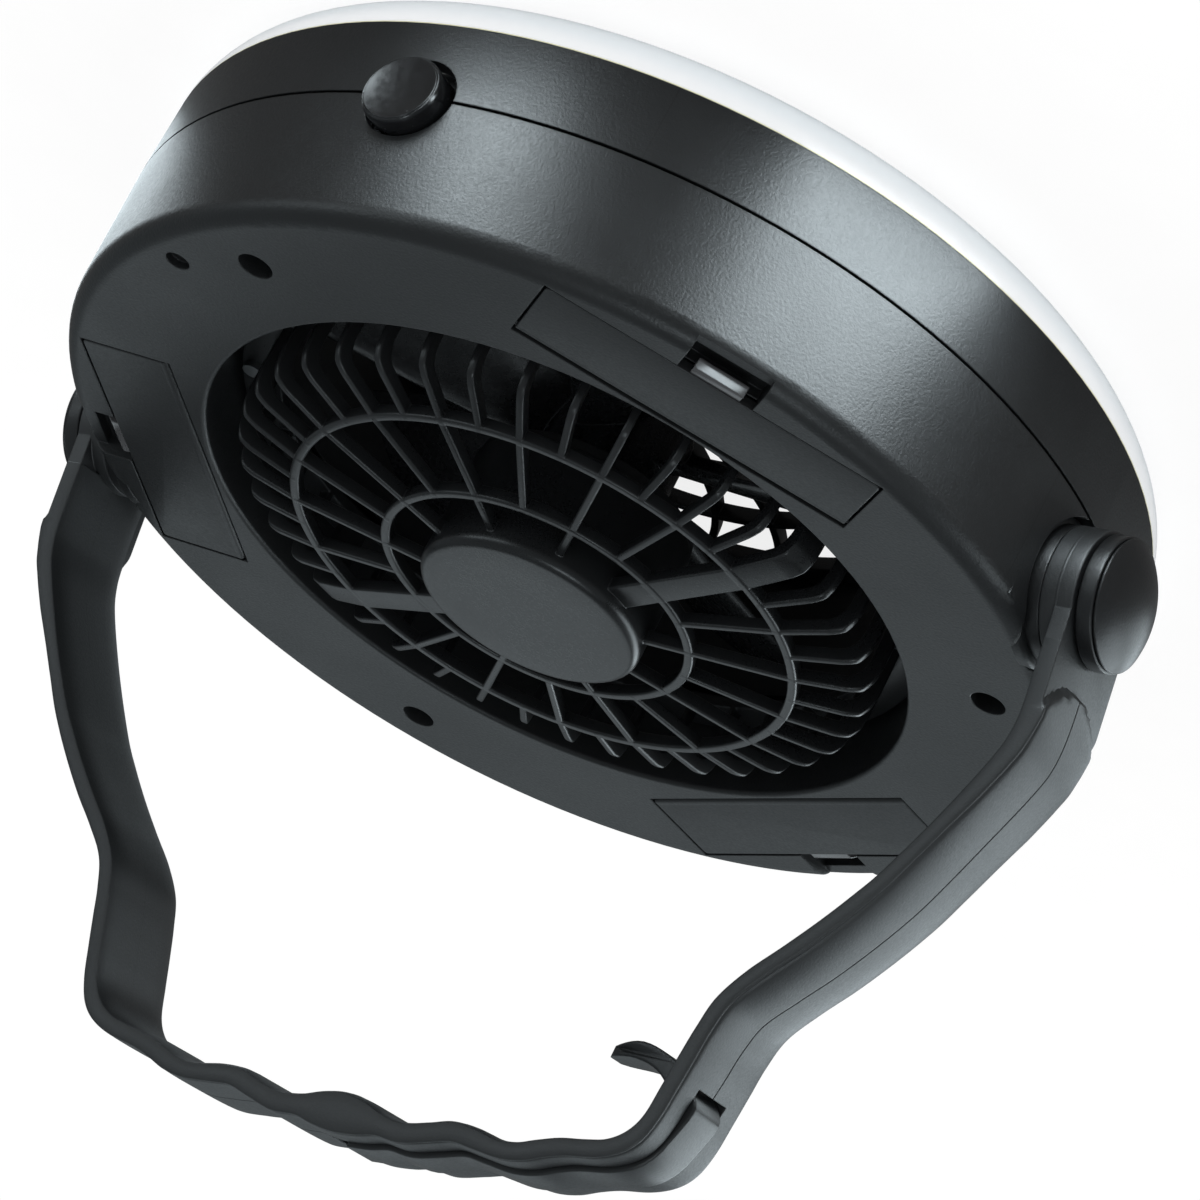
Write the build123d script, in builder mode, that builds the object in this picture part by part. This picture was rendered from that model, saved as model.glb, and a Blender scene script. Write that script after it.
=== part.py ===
from build123d import *
from math import cos, hypot, radians, sin
import os

os.makedirs("parts", exist_ok=True)

# A portable camping fan with a lamp ring, lying on its front with the carrying handle raised.
# The fan axis is Z, the handle pivots about X, and the power button points along +Y.
# The origin is on the fan axis, on the plane that the front rests on. All sizes in millimetres.

# Fits
running_gap = 0.05
screw_gap = 0.05
drive_gap = 0.02
lip_gap = 0.2
seat_gap = 0.3
loose_gap = 0.4

# Body shells
body_depth = 47.0
body_radius = 88.7
back_radius = body_radius - 0.7
bezel_radius = body_radius - 0.1
wall = 2.2
face_thickness = 2.0
edge_radius = 3.5
opening_radius = 62.0
opening_edge_radius = 0.8
seam_height = 23.5
seam_gap = 0.5
bezel_start = 9.0
lip_thickness = 1.9
lip_reach = 4.5
lip_root = 3.0
lip_slope = 2.0
partition_height = 15.0
partition_thickness = 2.0
duct_radius = 58.5
duct_wall = 1.8
duct_front = 5.0
duct_back = 29.0
ledge_height = 31.0
ledge_thickness = 2.0
ledge_inner_radius = 57.4
well_wall = 1.8

# Housing screws
screw_angles = [-12.0, 108.0, 228.0]
screw_circle = back_radius - 11.7
recess_radius = 2.95
screw_boss_radius = 4.8
screw_post_radius = 4.2
screw_floor_height = 27.0
screw_floor_thickness = 2.4
screw_radius = 1.5
screw_head_radius = 2.7
screw_head_height = 2.0
screw_length = 11.0
drill_tip_gap = 1.0
vent_angle = 119.0
vent_circle = back_radius - 7.0
vent_radius = 2.05
vent_depth = 1.4

# Battery bays
bay_angles = [48.0, 168.0, 288.0]
door_outer = back_radius - 8.5
door_inner = door_outer - 15.9
door_length = 57.6
door_thickness = 1.8
door_inner_gap = 0.55
door_gap = 0.4
hinge_pin_radius = 0.55
hinge_pin_reach = 0.9
latch_width = 8.6
latch_reach = 2.7
latch_step = 0.3
latch_drop = 1.9
latch_recess_width = 13.0
latch_recess_depth = 3.9
latch_recess_reach = 6.0
latch_ledge_depth = 2.0
latch_block_floor = 1.6
cell_radius = 7.25
cell_length = 49.4
cell_nub_radius = 2.7
cell_nub_length = 1.1
bay_length = 57.0
bay_width = 15.1
bay_wall = 1.4
bay_floor = 29.4
contact_thickness = 0.4
contact_width = 11.0
spring_radius = 4.0
spring_wire = 0.35
spring_turns = 3.0
spring_wire_sides = 6

# Lamp ring
diffuser_wall = 2.0
diffuser_round_reach = 8.0
diffuser_inner_radius = 60.6
diffuser_rim = 1.7
led_board_inner = 63.0
board_thickness = 1.6
led_count = 24
led_circle = 74.0
led_length = 3.5
led_width = 2.8
led_height = 0.8

# Front grille
front_ring_outer = 60.2
front_ring_inner = 55.0
front_grille_top = 5.0
front_grille_bottom = 2.0
front_rib_count = 24
front_rib_width = 1.4
front_hub_radius = 17.0
front_hub_edge = 1.0
front_ring_radii = [30.0, 43.0]
swirl_sink = 1.0
swirl_middle = (36.0, 6.0)
swirl_end = (55.5, 3.0)

# Rear grille
bar_count = 40
bar_width = 1.3
bar_depth = 2.4
spoke_angle = 18.0
spoke_width = 5.2
grille_hub_radius = 19.4
grille_hub_rise = 9.1
grille_hub_wall = 1.6
grille_hub_top = 1.8
grille_hub_bottom = 35.0
grille_hub_edge = 1.3
inner_ring_radius = 26.8
inner_ring_rise = 5.8
middle_ring_radius = 44.0
middle_ring_rise = 4.0
ring_width = 1.7
shoulder_radius = 53.0
shoulder_rise = 2.2
bar_bend = [(2.2, -0.9), (3.2, -2.8), (3.6, -5.4)]
bar_bend_relief = 0.7
bar_bend_middle = -3.6
ring_anchor = 0.4
foot_height = 2.0
foot_inner_radius = 54.2
foot_outer_radius = 61.2
foot_screw_angles = [63.0, 153.0, 243.0, 333.0]
foot_screw_circle = 58.9
small_screw_radius = 1.0
small_screw_head = 1.7
small_screw_head_height = 1.2
small_screw_length = 3.0

# Motor and rotor
motor_radius = 12.2
motor_sleeve = 1.7
motor_sleeve_length = 12.0
shaft_radius = 1.0
shaft_in_motor = 15.0
clamp_thickness = 1.8
clamp_hole_radius = 4.0
clamp_screw_circle = 15.9
clamp_screw_length = 6.0
rotor_top = 30.6
rotor_bottom = 14.6
rotor_hub_radius = 11.5
rotor_hub_wall = 1.8
rotor_hub_edge = 1.5
rotor_boss_radius = 3.0
rotor_radius = 55.0
blade_count = 5
blade_start_angle = 58.0
blade_root_width = 15.0
blade_tip_width = 36.0
blade_thickness = 1.5
blade_root_angle = 38.0
blade_tip_angle = 20.0
blade_camber = 2.0
blade_edge_drop = 1.4
blade_root_sink = 2.5
blade_tip_trim = 3.0

# Power button and its board
button_radius = 6.45
button_hole_radius = 7.4
button_reach = body_radius + 4.0
button_back = body_radius - 3.7
button_edge = 1.2
button_flange_radius = 8.4
button_flange_thickness = 1.4
button_dish_radius = 40.0
button_dish_depth = 0.35
button_stem_radius = 2.0
button_travel = 1.0
switch_face = button_back - 5.4
switch_depth = 3.4
switch_width = 6.0
plunger_radius = 1.7
plunger_length = 1.6
plunger_engagement = 1.2
control_board_width = 24.0
control_board_height = 15.0

# Handle pivots
pivot_height = 35.0
boss_radius = 10.8
boss_face = body_radius - 1.7
moat_radius = 12.3
moat_floor = boss_face - 1.7
pad_back = moat_floor - 2.3
pad_half_width = 14.0
washer_thickness = 2.0
eye_radius = 11.1
eye_thickness = 5.55
eye_outer_face = boss_face + washer_thickness + running_gap + eye_thickness
neck_radius = 6.0
shoulder_neck_radius = 8.6
knob_face = eye_outer_face + 0.5
knob_ring_radius = 10.7
knob_ring_thickness = 2.7
knob_dome_radius = 10.5
knob_dome_height = 3.8
pivot_screw_head = 3.2
pivot_screw_head_height = 1.6
pivot_screw_tip = boss_face - 3.2
cap_spigot_length = 0.9
cap_rim = 0.4

# Handle, drawn in its own plane: across the fan, then away from the pivot.
# The outlines are drawn for eyes whose outer faces are outline_eye_face from the middle.
outline_eye_face = 94.6
handle_lean = 14.75
handle_width = 20.0
handle_back_width = 1.0
handle_edge = 3.2
handle_back_edge = 3.0
arm_crown = 1.8
arm_start = 70.0
grip_crown = 0.2
shoulder_crowns = [0.3, 0.4, 0.6, 0.9, 1.1, 1.4]
inner_crown = 0.6
handle_outer_run = [
    (0.0, 109.2), (4.1, 108.8), (7.6, 108.1), (12.1, 108.3), (17.1, 107.1), (21.1, 106.1),
    (25.1, 106.4), (30.1, 106.8), (34.1, 106.2), (37.6, 104.9), (41.0, 103.9), (46.1, 103.0),
    (50.1, 101.4), (52.8, 98.9), (54.6, 95.0), (55.9, 90.0), (57.1, 85.0), (58.3, 80.0),
    (60.2, 75.0), (64.2, 70.0), (69.0, 65.0), (73.3, 60.0), (77.2, 55.0), (80.6, 50.0),
    (86.4, 40.0), (91.6, 30.6), (93.3, 26.0), (93.9, 20.0), (93.9, 10.0), (93.9, 0.0),
]
handle_inner_run = [
    (0.0, 102.8), (3.9, 103.4), (7.9, 104.7), (11.9, 105.1), (15.9, 104.2), (19.9, 103.1),
    (23.9, 103.2), (28.5, 104.0), (31.9, 103.8), (35.4, 102.6), (39.0, 101.5), (43.2, 100.8),
    (46.9, 99.9), (49.9, 98.0), (51.9, 95.0), (53.2, 90.0), (54.4, 85.0), (55.7, 80.0),
    (57.4, 75.0), (60.9, 70.0), (65.6, 65.0), (70.1, 60.0), (74.2, 55.0), (77.9, 50.0),
    (84.0, 40.0), (89.3, 30.0), (91.1, 25.0), (91.6, 20.0), (91.6, 10.0), (91.6, 0.0),
]
panel_end_radius = 12.5
panel_end_height = 28.0
tab_back = 12.0
tab_end = 19.0
tab_taper_end = 24.0

# Hanging hook, drawn in the handle plane
hook_pivot_height = 105.9
hook_width = 9.2
hook_proud = 1.0
hook_under = 1.2
hook_channel_end = 90.0
hook_channel_gap = 0.3
hook_pin_radius = 1.4
hook_knuckle_radius = 2.8
hook_pin_sink = 0.2
hook_relief = 5.6
hook_relief_height = 8.0
shank_end = (55.4, 91.9)
hook_finger_outer = [
    (57.1, 93.4), (57.1, 91.4), (53.6, 86.8), (50.3, 84.4), (44.8, 83.0), (39.4, 84.4),
]
hook_finger_inner = [(38.7, 86.2), (44.3, 85.9), (48.6, 87.0), (51.8, 89.8), (54.4, 94.2)]
hook_window = [(50.6, 82.2), (62.0, 93.4), (62.0, 113.0), (42.6, 113.0), (42.6, 96.0)]


def stretched(run):
    """Fit a run of points to the real distance between the handle eyes."""
    return [(across * eye_outer_face / outline_eye_face, along) for across, along in run]


def moved_aside(run, amounts):
    """Move each point of a run sideways, to the right of its direction of travel."""
    moved = []
    for index, ((across, along), amount) in enumerate(zip(run, amounts)):
        before = run[max(index - 1, 0)]
        after = run[min(index + 1, len(run) - 1)]
        step_across = after[0] - before[0]
        step_along = after[1] - before[1]
        step = hypot(step_across, step_along)
        moved.append((across + amount * step_along / step, along - amount * step_across / step))
    return moved


def both_sides(run):
    """Complete a run that starts on the centre line with its mirror image."""
    return [(-across, along) for across, along in reversed(run[1:])] + run


def export_piece(shape, name):
    """Label a finished piece and write its file."""
    shape.label = name
    export_step(shape, f"parts/{name}.step")


# Heights that follow from the sizes above
back_underside = body_depth - face_thickness
front_seam = seam_height - seam_gap
partition_top = partition_height + partition_thickness
inside_radius = back_radius - wall
lip_outer_radius = inside_radius - lip_gap
lip_inner_radius = lip_outer_radius - lip_thickness
bezel_inner_radius = bezel_radius - wall
flat_radius = bezel_radius - diffuser_round_reach
skirt_outer_radius = bezel_inner_radius - loose_gap
skirt_inner_radius = skirt_outer_radius - diffuser_rim
led_board_outer = skirt_inner_radius - loose_gap
bay_centre = (door_inner + door_outer) / 2
door_axis_height = body_depth - door_thickness / 2
door_axis_radius = door_inner + door_thickness / 2
bay_ledge = body_depth - door_thickness - seat_gap
cell_height = bay_ledge - cell_radius - seat_gap
cell_end = bay_length / 2 - contact_thickness
cell_start = cell_end - cell_nub_length - cell_length
hub_top = body_depth + grille_hub_rise
motor_top = hub_top - grille_hub_top
ledge_top = ledge_height + ledge_thickness
stem_end = switch_face + plunger_length

outer_run = stretched(handle_outer_run)
inner_run = stretched(handle_inner_run)
shank_run = stretched([point for point in handle_outer_run if point[1] > shank_end[1]] + [shank_end])
channel_run = [point for point in outer_run if point[1] >= hook_channel_end]
hook_slot = hook_width + 2 * hook_channel_gap
channel_depth = hook_under + hook_channel_gap
channel_clearance = 2 * arm_crown

handle_plane = Plane(
    origin=(0, 0, pivot_height),
    x_dir=(1, 0, 0),
    z_dir=(0, -cos(radians(handle_lean)), -sin(radians(handle_lean))),
)

# Rear shell: back face, side wall, well for the grille, and the ledge the grille stands on
with BuildPart() as rear_housing:
    with BuildSketch(Plane.XZ):
        with BuildLine():
            Polyline(
                (body_radius, seam_height),
                (back_radius, body_depth),
                (opening_radius, body_depth),
                (opening_radius, ledge_top),
                (ledge_inner_radius, ledge_top),
                (ledge_inner_radius, ledge_height),
                (opening_radius + well_wall, ledge_height),
                (opening_radius + well_wall, back_underside),
                (inside_radius, back_underside),
                (inside_radius, seam_height),
                close=True,
            )
        make_face()
    revolve(axis=Axis.Z)
    top_edges = rear_housing.edges().filter_by(GeomType.CIRCLE).group_by(Axis.Z)[-1]
    outer_edge = top_edges.sort_by(SortBy.RADIUS)[-1]
    opening_edge = top_edges.sort_by(SortBy.RADIUS)[0]
    fillet(outer_edge, radius=edge_radius)
    fillet(opening_edge, radius=opening_edge_radius)
    for angle in bay_angles:
        with Locations(Location((0, 0, 0), (0, 0, angle))):
            with Locations((bay_centre, 0, bay_floor - bay_wall)):
                Box(
                    bay_width + 2 * bay_wall,
                    bay_length + 2 * bay_wall,
                    back_underside - bay_floor + bay_wall,
                    align=(Align.CENTER, Align.CENTER, Align.MIN),
                )
            with Locations((door_outer, 0, body_depth - latch_recess_depth - latch_block_floor)):
                Box(
                    inside_radius - door_outer,
                    latch_recess_width + 2 * bay_wall,
                    latch_recess_depth + latch_block_floor - face_thickness,
                    align=(Align.MIN, Align.CENTER, Align.MIN),
                )
    for angle in screw_angles:
        with Locations(Location((0, 0, 0), (0, 0, angle))):
            with Locations((screw_circle, 0, screw_floor_height)):
                Cylinder(
                    screw_boss_radius,
                    back_underside - screw_floor_height,
                    align=(Align.CENTER, Align.CENTER, Align.MIN),
                )
    for side in (-1, 1):
        with Locations((side * (pad_back + boss_face) / 2, 0, (seam_height + back_underside) / 2)):
            Box(boss_face - pad_back, 2 * pad_half_width, back_underside - seam_height)
        with Locations(Location((side * moat_floor, 0, pivot_height), (0, side * 90, 0))):
            Cylinder(
                moat_radius,
                body_radius,
                align=(Align.CENTER, Align.CENTER, Align.MIN),
                mode=Mode.SUBTRACT,
            )
        with Locations(Location((side * boss_face, 0, pivot_height), (0, side * 90, 0))):
            Cylinder(boss_radius, boss_face - pad_back, align=(Align.CENTER, Align.CENTER, Align.MAX))
            Cylinder(
                screw_radius + screw_gap,
                boss_face - pivot_screw_tip + loose_gap,
                align=(Align.CENTER, Align.CENTER, Align.MAX),
                mode=Mode.SUBTRACT,
            )
    for angle in bay_angles:
        with Locations(Location((0, 0, 0), (0, 0, angle))):
            with Locations((bay_centre, 0, bay_floor)):
                Box(
                    bay_width,
                    bay_length,
                    body_depth,
                    align=(Align.CENTER, Align.CENTER, Align.MIN),
                    mode=Mode.SUBTRACT,
                )
            with Locations((door_inner - door_inner_gap, 0, bay_ledge)):
                Box(
                    door_outer + door_gap - door_inner + door_inner_gap,
                    door_length + 2 * door_gap,
                    body_depth,
                    align=(Align.MIN, Align.CENTER, Align.MIN),
                    mode=Mode.SUBTRACT,
                )
            with Locations((door_outer, 0, body_depth - latch_recess_depth)):
                Box(
                    latch_recess_reach,
                    latch_recess_width,
                    body_depth,
                    align=(Align.MIN, Align.CENTER, Align.MIN),
                    mode=Mode.SUBTRACT,
                )
            with Locations((door_outer, 0, body_depth - latch_ledge_depth)):
                Box(
                    body_radius - door_outer,
                    latch_recess_width,
                    body_depth,
                    align=(Align.MIN, Align.CENTER, Align.MIN),
                    mode=Mode.SUBTRACT,
                )
            with Locations(Location((door_axis_radius, 0, door_axis_height), (90, 0, 0))):
                Cylinder(
                    hinge_pin_radius + running_gap,
                    door_length + 2 * (door_gap + hinge_pin_reach + seat_gap),
                    mode=Mode.SUBTRACT,
                )
    for angle in screw_angles:
        with Locations(Location((0, 0, 0), (0, 0, angle))):
            with Locations((screw_circle, 0, screw_floor_height + screw_floor_thickness)):
                Cylinder(
                    recess_radius,
                    body_depth,
                    align=(Align.CENTER, Align.CENTER, Align.MIN),
                    mode=Mode.SUBTRACT,
                )
            with Locations((screw_circle, 0, screw_floor_height)):
                Cylinder(
                    screw_radius + screw_gap,
                    body_depth,
                    align=(Align.CENTER, Align.CENTER, Align.MIN),
                    mode=Mode.SUBTRACT,
                )
    with Locations(Location((0, 0, 0), (0, 0, vent_angle))):
        with Locations((vent_circle, 0, body_depth - vent_depth)):
            Cylinder(
                vent_radius,
                face_thickness,
                align=(Align.CENTER, Align.CENTER, Align.MIN),
                mode=Mode.SUBTRACT,
            )
    with Locations(Location((0, button_back - button_flange_thickness, seam_height), (-90, 0, 0))):
        Cylinder(
            button_hole_radius,
            body_radius,
            align=(Align.CENTER, Align.CENTER, Align.MIN),
            mode=Mode.SUBTRACT,
        )
    for angle in foot_screw_angles:
        with Locations(Location((0, 0, 0), (0, 0, angle))):
            with Locations((foot_screw_circle, 0, ledge_height)):
                Cylinder(small_screw_radius + screw_gap, 2 * ledge_thickness, mode=Mode.SUBTRACT)
export_piece(rear_housing.part, "rear_housing")

# Front shell: bezel band, locating lip, partition behind the lamp, and the air duct
with BuildPart() as front_housing:
    with BuildSketch(Plane.XZ):
        with BuildLine():
            Polyline(
                (bezel_radius, bezel_start),
                (body_radius, front_seam),
                (lip_outer_radius, front_seam),
                (lip_outer_radius, seam_height + lip_reach),
                (lip_inner_radius, seam_height + lip_reach),
                (lip_inner_radius, front_seam - lip_root),
                (bezel_inner_radius, front_seam - lip_root - lip_slope),
                (bezel_inner_radius, partition_top),
                (duct_radius + duct_wall, partition_top),
                (duct_radius + duct_wall, duct_back),
                (duct_radius, duct_back),
                (duct_radius, duct_front),
                (duct_radius + duct_wall, duct_front),
                (duct_radius + duct_wall, partition_height),
                (bezel_inner_radius, partition_height),
                (bezel_inner_radius, bezel_start),
                close=True,
            )
        make_face()
    revolve(axis=Axis.Z)
    for angle in screw_angles:
        with Locations(Location((0, 0, 0), (0, 0, angle))):
            with Locations((screw_circle, 0, partition_height)):
                Cylinder(
                    screw_post_radius,
                    screw_floor_height - partition_height,
                    align=(Align.CENTER, Align.CENTER, Align.MIN),
                )
            with Locations((screw_circle, 0, screw_floor_height)):
                Cylinder(
                    screw_radius + screw_gap,
                    screw_length - screw_floor_thickness + drill_tip_gap,
                    align=(Align.CENTER, Align.CENTER, Align.MAX),
                    mode=Mode.SUBTRACT,
                )
    for side in (-1, 1):
        with Locations((side * lip_outer_radius, 0, front_seam)):
            Box(
                4 * lip_thickness,
                2 * pad_half_width + 2 * loose_gap,
                2 * lip_reach,
                align=(Align.CENTER, Align.CENTER, Align.MIN),
                mode=Mode.SUBTRACT,
            )
    for angle in bay_angles:
        with Locations(Location((0, 0, 0), (0, 0, angle))):
            with Locations((bay_centre, 0, bay_floor - bay_wall - loose_gap)):
                Box(
                    bay_width + 2 * bay_wall + 2 * loose_gap,
                    bay_length + 2 * bay_wall + 2 * loose_gap,
                    body_depth,
                    align=(Align.CENTER, Align.CENTER, Align.MIN),
                    mode=Mode.SUBTRACT,
                )
    with Locations(Location((0, button_back, seam_height), (-90, 0, 0))):
        Cylinder(
            button_hole_radius,
            body_radius,
            align=(Align.CENTER, Align.CENTER, Align.MIN),
            mode=Mode.SUBTRACT,
        )
    with Locations(Location((0, inside_radius + lip_gap, seam_height), (-90, 0, 0))):
        Cylinder(
            button_flange_radius + loose_gap,
            2 * lip_reach,
            align=(Align.CENTER, Align.CENTER, Align.MAX),
            mode=Mode.SUBTRACT,
        )
export_piece(front_housing.part, "front_housing")

# Milky lamp lens that forms the rounded front rim
with BuildPart() as diffuser:
    with BuildSketch(Plane.XZ):
        with BuildLine():
            EllipticalCenterArc(
                (flat_radius, bezel_start),
                diffuser_round_reach,
                bezel_start,
                start_angle=270,
                arc_size=90,
            )
            Polyline(
                (flat_radius, 0),
                (diffuser_inner_radius + diffuser_wall, 0),
                (diffuser_inner_radius, diffuser_wall),
                (diffuser_inner_radius, partition_height),
                (diffuser_inner_radius + diffuser_rim, partition_height),
                (diffuser_inner_radius + diffuser_rim, diffuser_wall + diffuser_rim),
                (diffuser_inner_radius + 2 * diffuser_rim, diffuser_wall),
                (flat_radius, diffuser_wall),
            )
            EllipticalCenterArc(
                (flat_radius, bezel_start),
                skirt_inner_radius - flat_radius,
                bezel_start - diffuser_wall,
                start_angle=270,
                arc_size=90,
            )
            Polyline(
                (skirt_inner_radius, bezel_start),
                (skirt_inner_radius, partition_height),
                (skirt_outer_radius, partition_height),
                (skirt_outer_radius, bezel_start),
                (bezel_radius, bezel_start),
            )
        make_face()
    revolve(axis=Axis.Z)
export_piece(diffuser.part, "diffuser")

# Lamp board with its chips facing the lens
with BuildPart() as led_board:
    with BuildSketch(Plane.XY.offset(partition_height - board_thickness)):
        Circle(led_board_outer)
        Circle(led_board_inner, mode=Mode.SUBTRACT)
    extrude(amount=board_thickness)
export_piece(led_board.part, "led_board")

with BuildPart() as led_chips:
    with BuildSketch(Plane.XY.offset(partition_height - board_thickness - led_height)):
        with PolarLocations(led_circle, led_count):
            Rectangle(led_length, led_width)
    extrude(amount=led_height)
export_piece(led_chips.part, "led_chips")

# Front grille: swirled ribs, rings and a hub that stands flush with the lamp lens
with BuildPart() as front_grille:
    with BuildSketch(Plane.XY.offset(front_grille_bottom)):
        Circle(front_ring_outer)
        Circle(front_ring_inner, mode=Mode.SUBTRACT)
        for radius in front_ring_radii:
            with BuildSketch(Plane.XY, mode=Mode.PRIVATE) as plain_ring:
                Circle(radius + front_rib_width / 2)
                Circle(radius - front_rib_width / 2, mode=Mode.SUBTRACT)
            add(plain_ring.sketch)
        Circle(front_hub_radius)
        with BuildSketch(Plane.XY, mode=Mode.PRIVATE) as swirl_rib:
            with BuildLine():
                ThreePointArc((front_hub_radius - swirl_sink, 0), swirl_middle, swirl_end)
            trace(line_width=front_rib_width)
        for index in range(front_rib_count):
            with Locations(Location((0, 0, 0), (0, 0, index * 360 / front_rib_count))):
                add(swirl_rib.sketch)
    extrude(amount=front_grille_top - front_grille_bottom)
    with BuildSketch(Plane.XY):
        Circle(front_hub_radius)
    extrude(amount=front_grille_bottom)
    fillet(front_grille.edges().group_by(Axis.Z)[0], radius=front_hub_edge)
export_piece(front_grille.part, "front_grille")

# Rear grille: forty slim bars, two broad spokes, two rings and a cup that holds the motor
bar_edge = [
    (inner_ring_radius, inner_ring_rise),
    (middle_ring_radius, middle_ring_rise),
    (shoulder_radius, shoulder_rise),
]
bar_edge += [(shoulder_radius + out, shoulder_rise + rise) for out, rise in bar_bend]
bar_outer_radius, bend_end_rise = bar_edge[-1]
bar_inner_radius = bar_outer_radius - bar_depth
bar_foot = ledge_top + foot_height / 2 - body_depth
bar_return = [
    (bar_inner_radius, bar_foot),
    (bar_inner_radius, bend_end_rise),
    (bar_inner_radius - bar_bend_relief, shoulder_rise + bar_bend_middle),
    (shoulder_radius - bar_bend_relief, shoulder_rise - bar_depth),
    (middle_ring_radius, middle_ring_rise - bar_depth),
    (inner_ring_radius, inner_ring_rise - bar_depth),
]
inward_slope = (inner_ring_rise - middle_ring_rise) / (middle_ring_radius - inner_ring_radius)
hub_bar_radius = grille_hub_radius - grille_hub_wall / 2
hub_bar_rise = inner_ring_rise + inward_slope * (inner_ring_radius - hub_bar_radius)
long_start = (hub_bar_radius, hub_bar_rise)
medium_start = (inner_ring_radius - ring_anchor, inner_ring_rise)
short_start = (middle_ring_radius - ring_anchor, middle_ring_rise)


def bar_outline(start, first_point):
    """Side outline of one bar, from its inner end over the shoulder and down to its foot."""
    upper = [start] + bar_edge[first_point:] + [(bar_outer_radius, bar_foot)]
    lower = bar_return[: len(bar_return) - first_point] + [(start[0], start[1] - bar_depth)]
    return [(radius, body_depth + rise) for radius, rise in upper + lower]


bar_kinds = [
    (bar_outline(long_start, 0), spoke_width, [spoke_angle, spoke_angle + 180]),
    (bar_outline(long_start, 0), bar_width, [spoke_angle + 36 * turn for turn in (1, 2, 3, 4, 6, 7, 8, 9)]),
    (bar_outline(medium_start, 0), bar_width, [spoke_angle + 18 + 36 * turn for turn in range(10)]),
    (bar_outline(short_start, 1), bar_width, [spoke_angle + 9 + 18 * turn for turn in range(20)]),
]
with BuildPart() as rear_grille:
    for outline, width, angles in bar_kinds:
        with BuildPart(mode=Mode.PRIVATE) as bar:
            with BuildSketch(Plane.XZ):
                with BuildLine():
                    Polyline(*outline, close=True)
                make_face()
            extrude(amount=width / 2, both=True)
        for angle in angles:
            with Locations(Location((0, 0, 0), (0, 0, angle))):
                add(bar.part)
    for radius, rise in ((inner_ring_radius, inner_ring_rise), (middle_ring_radius, middle_ring_rise)):
        with BuildSketch(Plane.XY.offset(body_depth + rise)):
            Circle(radius + ring_width / 2)
            Circle(radius - ring_width / 2, mode=Mode.SUBTRACT)
        extrude(amount=-bar_depth)
    with BuildSketch(Plane.XY.offset(ledge_top)):
        Circle(foot_outer_radius)
        Circle(foot_inner_radius, mode=Mode.SUBTRACT)
    extrude(amount=foot_height)
    with Locations((0, 0, grille_hub_bottom)):
        Cylinder(
            grille_hub_radius,
            hub_top - grille_hub_bottom,
            align=(Align.CENTER, Align.CENTER, Align.MIN),
        )
    fillet(rear_grille.edges().group_by(Axis.Z)[-1], radius=grille_hub_edge)
    with Locations((0, 0, grille_hub_bottom)):
        Cylinder(
            grille_hub_radius - grille_hub_wall,
            motor_top - grille_hub_bottom,
            align=(Align.CENTER, Align.CENTER, Align.MIN),
            mode=Mode.SUBTRACT,
        )
    with Locations((0, 0, motor_top)):
        Cylinder(
            motor_radius + running_gap + motor_sleeve,
            motor_sleeve_length,
            align=(Align.CENTER, Align.CENTER, Align.MAX),
        )
        Cylinder(
            motor_radius + running_gap,
            motor_sleeve_length,
            align=(Align.CENTER, Align.CENTER, Align.MAX),
            mode=Mode.SUBTRACT,
        )
    with Locations((0, 0, grille_hub_bottom)):
        with PolarLocations(clamp_screw_circle, 2, start_angle=spoke_angle + 90):
            Cylinder(
                small_screw_radius + small_screw_head,
                motor_top - grille_hub_bottom,
                align=(Align.CENTER, Align.CENTER, Align.MIN),
            )
            Cylinder(
                small_screw_radius + screw_gap,
                clamp_screw_length,
                align=(Align.CENTER, Align.CENTER, Align.MIN),
                mode=Mode.SUBTRACT,
            )
        Cylinder(
            motor_radius + running_gap,
            motor_top - grille_hub_bottom,
            align=(Align.CENTER, Align.CENTER, Align.MIN),
            mode=Mode.SUBTRACT,
        )
    for angle in foot_screw_angles:
        with Locations(Location((0, 0, 0), (0, 0, angle))):
            with Locations((foot_screw_circle, 0, ledge_top)):
                Cylinder(small_screw_radius + screw_gap, 2 * foot_height, mode=Mode.SUBTRACT)
export_piece(rear_grille.part, "rear_grille")

with BuildPart() as grille_screws:
    for angle in foot_screw_angles:
        with Locations(Location((0, 0, 0), (0, 0, angle))):
            with Locations((foot_screw_circle, 0, ledge_top + foot_height)):
                Cylinder(
                    small_screw_head,
                    small_screw_head_height,
                    align=(Align.CENTER, Align.CENTER, Align.MIN),
                )
                Cylinder(
                    small_screw_radius,
                    foot_height + ledge_thickness,
                    align=(Align.CENTER, Align.CENTER, Align.MAX),
                )
export_piece(grille_screws.part, "grille_screws")

# Motor, held in the cup by a clamp plate
with BuildPart() as motor_case:
    with Locations((0, 0, grille_hub_bottom)):
        Cylinder(
            motor_radius,
            motor_top - grille_hub_bottom,
            align=(Align.CENTER, Align.CENTER, Align.MIN),
        )
        Cylinder(
            shaft_radius + running_gap,
            shaft_in_motor + drill_tip_gap,
            align=(Align.CENTER, Align.CENTER, Align.MIN),
            mode=Mode.SUBTRACT,
        )
export_piece(motor_case.part, "motor_case")

with BuildPart() as motor_clamp:
    with BuildSketch(Plane.XY.offset(grille_hub_bottom)):
        Circle(grille_hub_radius - loose_gap)
        Circle(clamp_hole_radius, mode=Mode.SUBTRACT)
        with PolarLocations(clamp_screw_circle, 2, start_angle=spoke_angle + 90):
            Circle(small_screw_radius + screw_gap, mode=Mode.SUBTRACT)
    extrude(amount=-clamp_thickness)
export_piece(motor_clamp.part, "motor_clamp")

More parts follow.
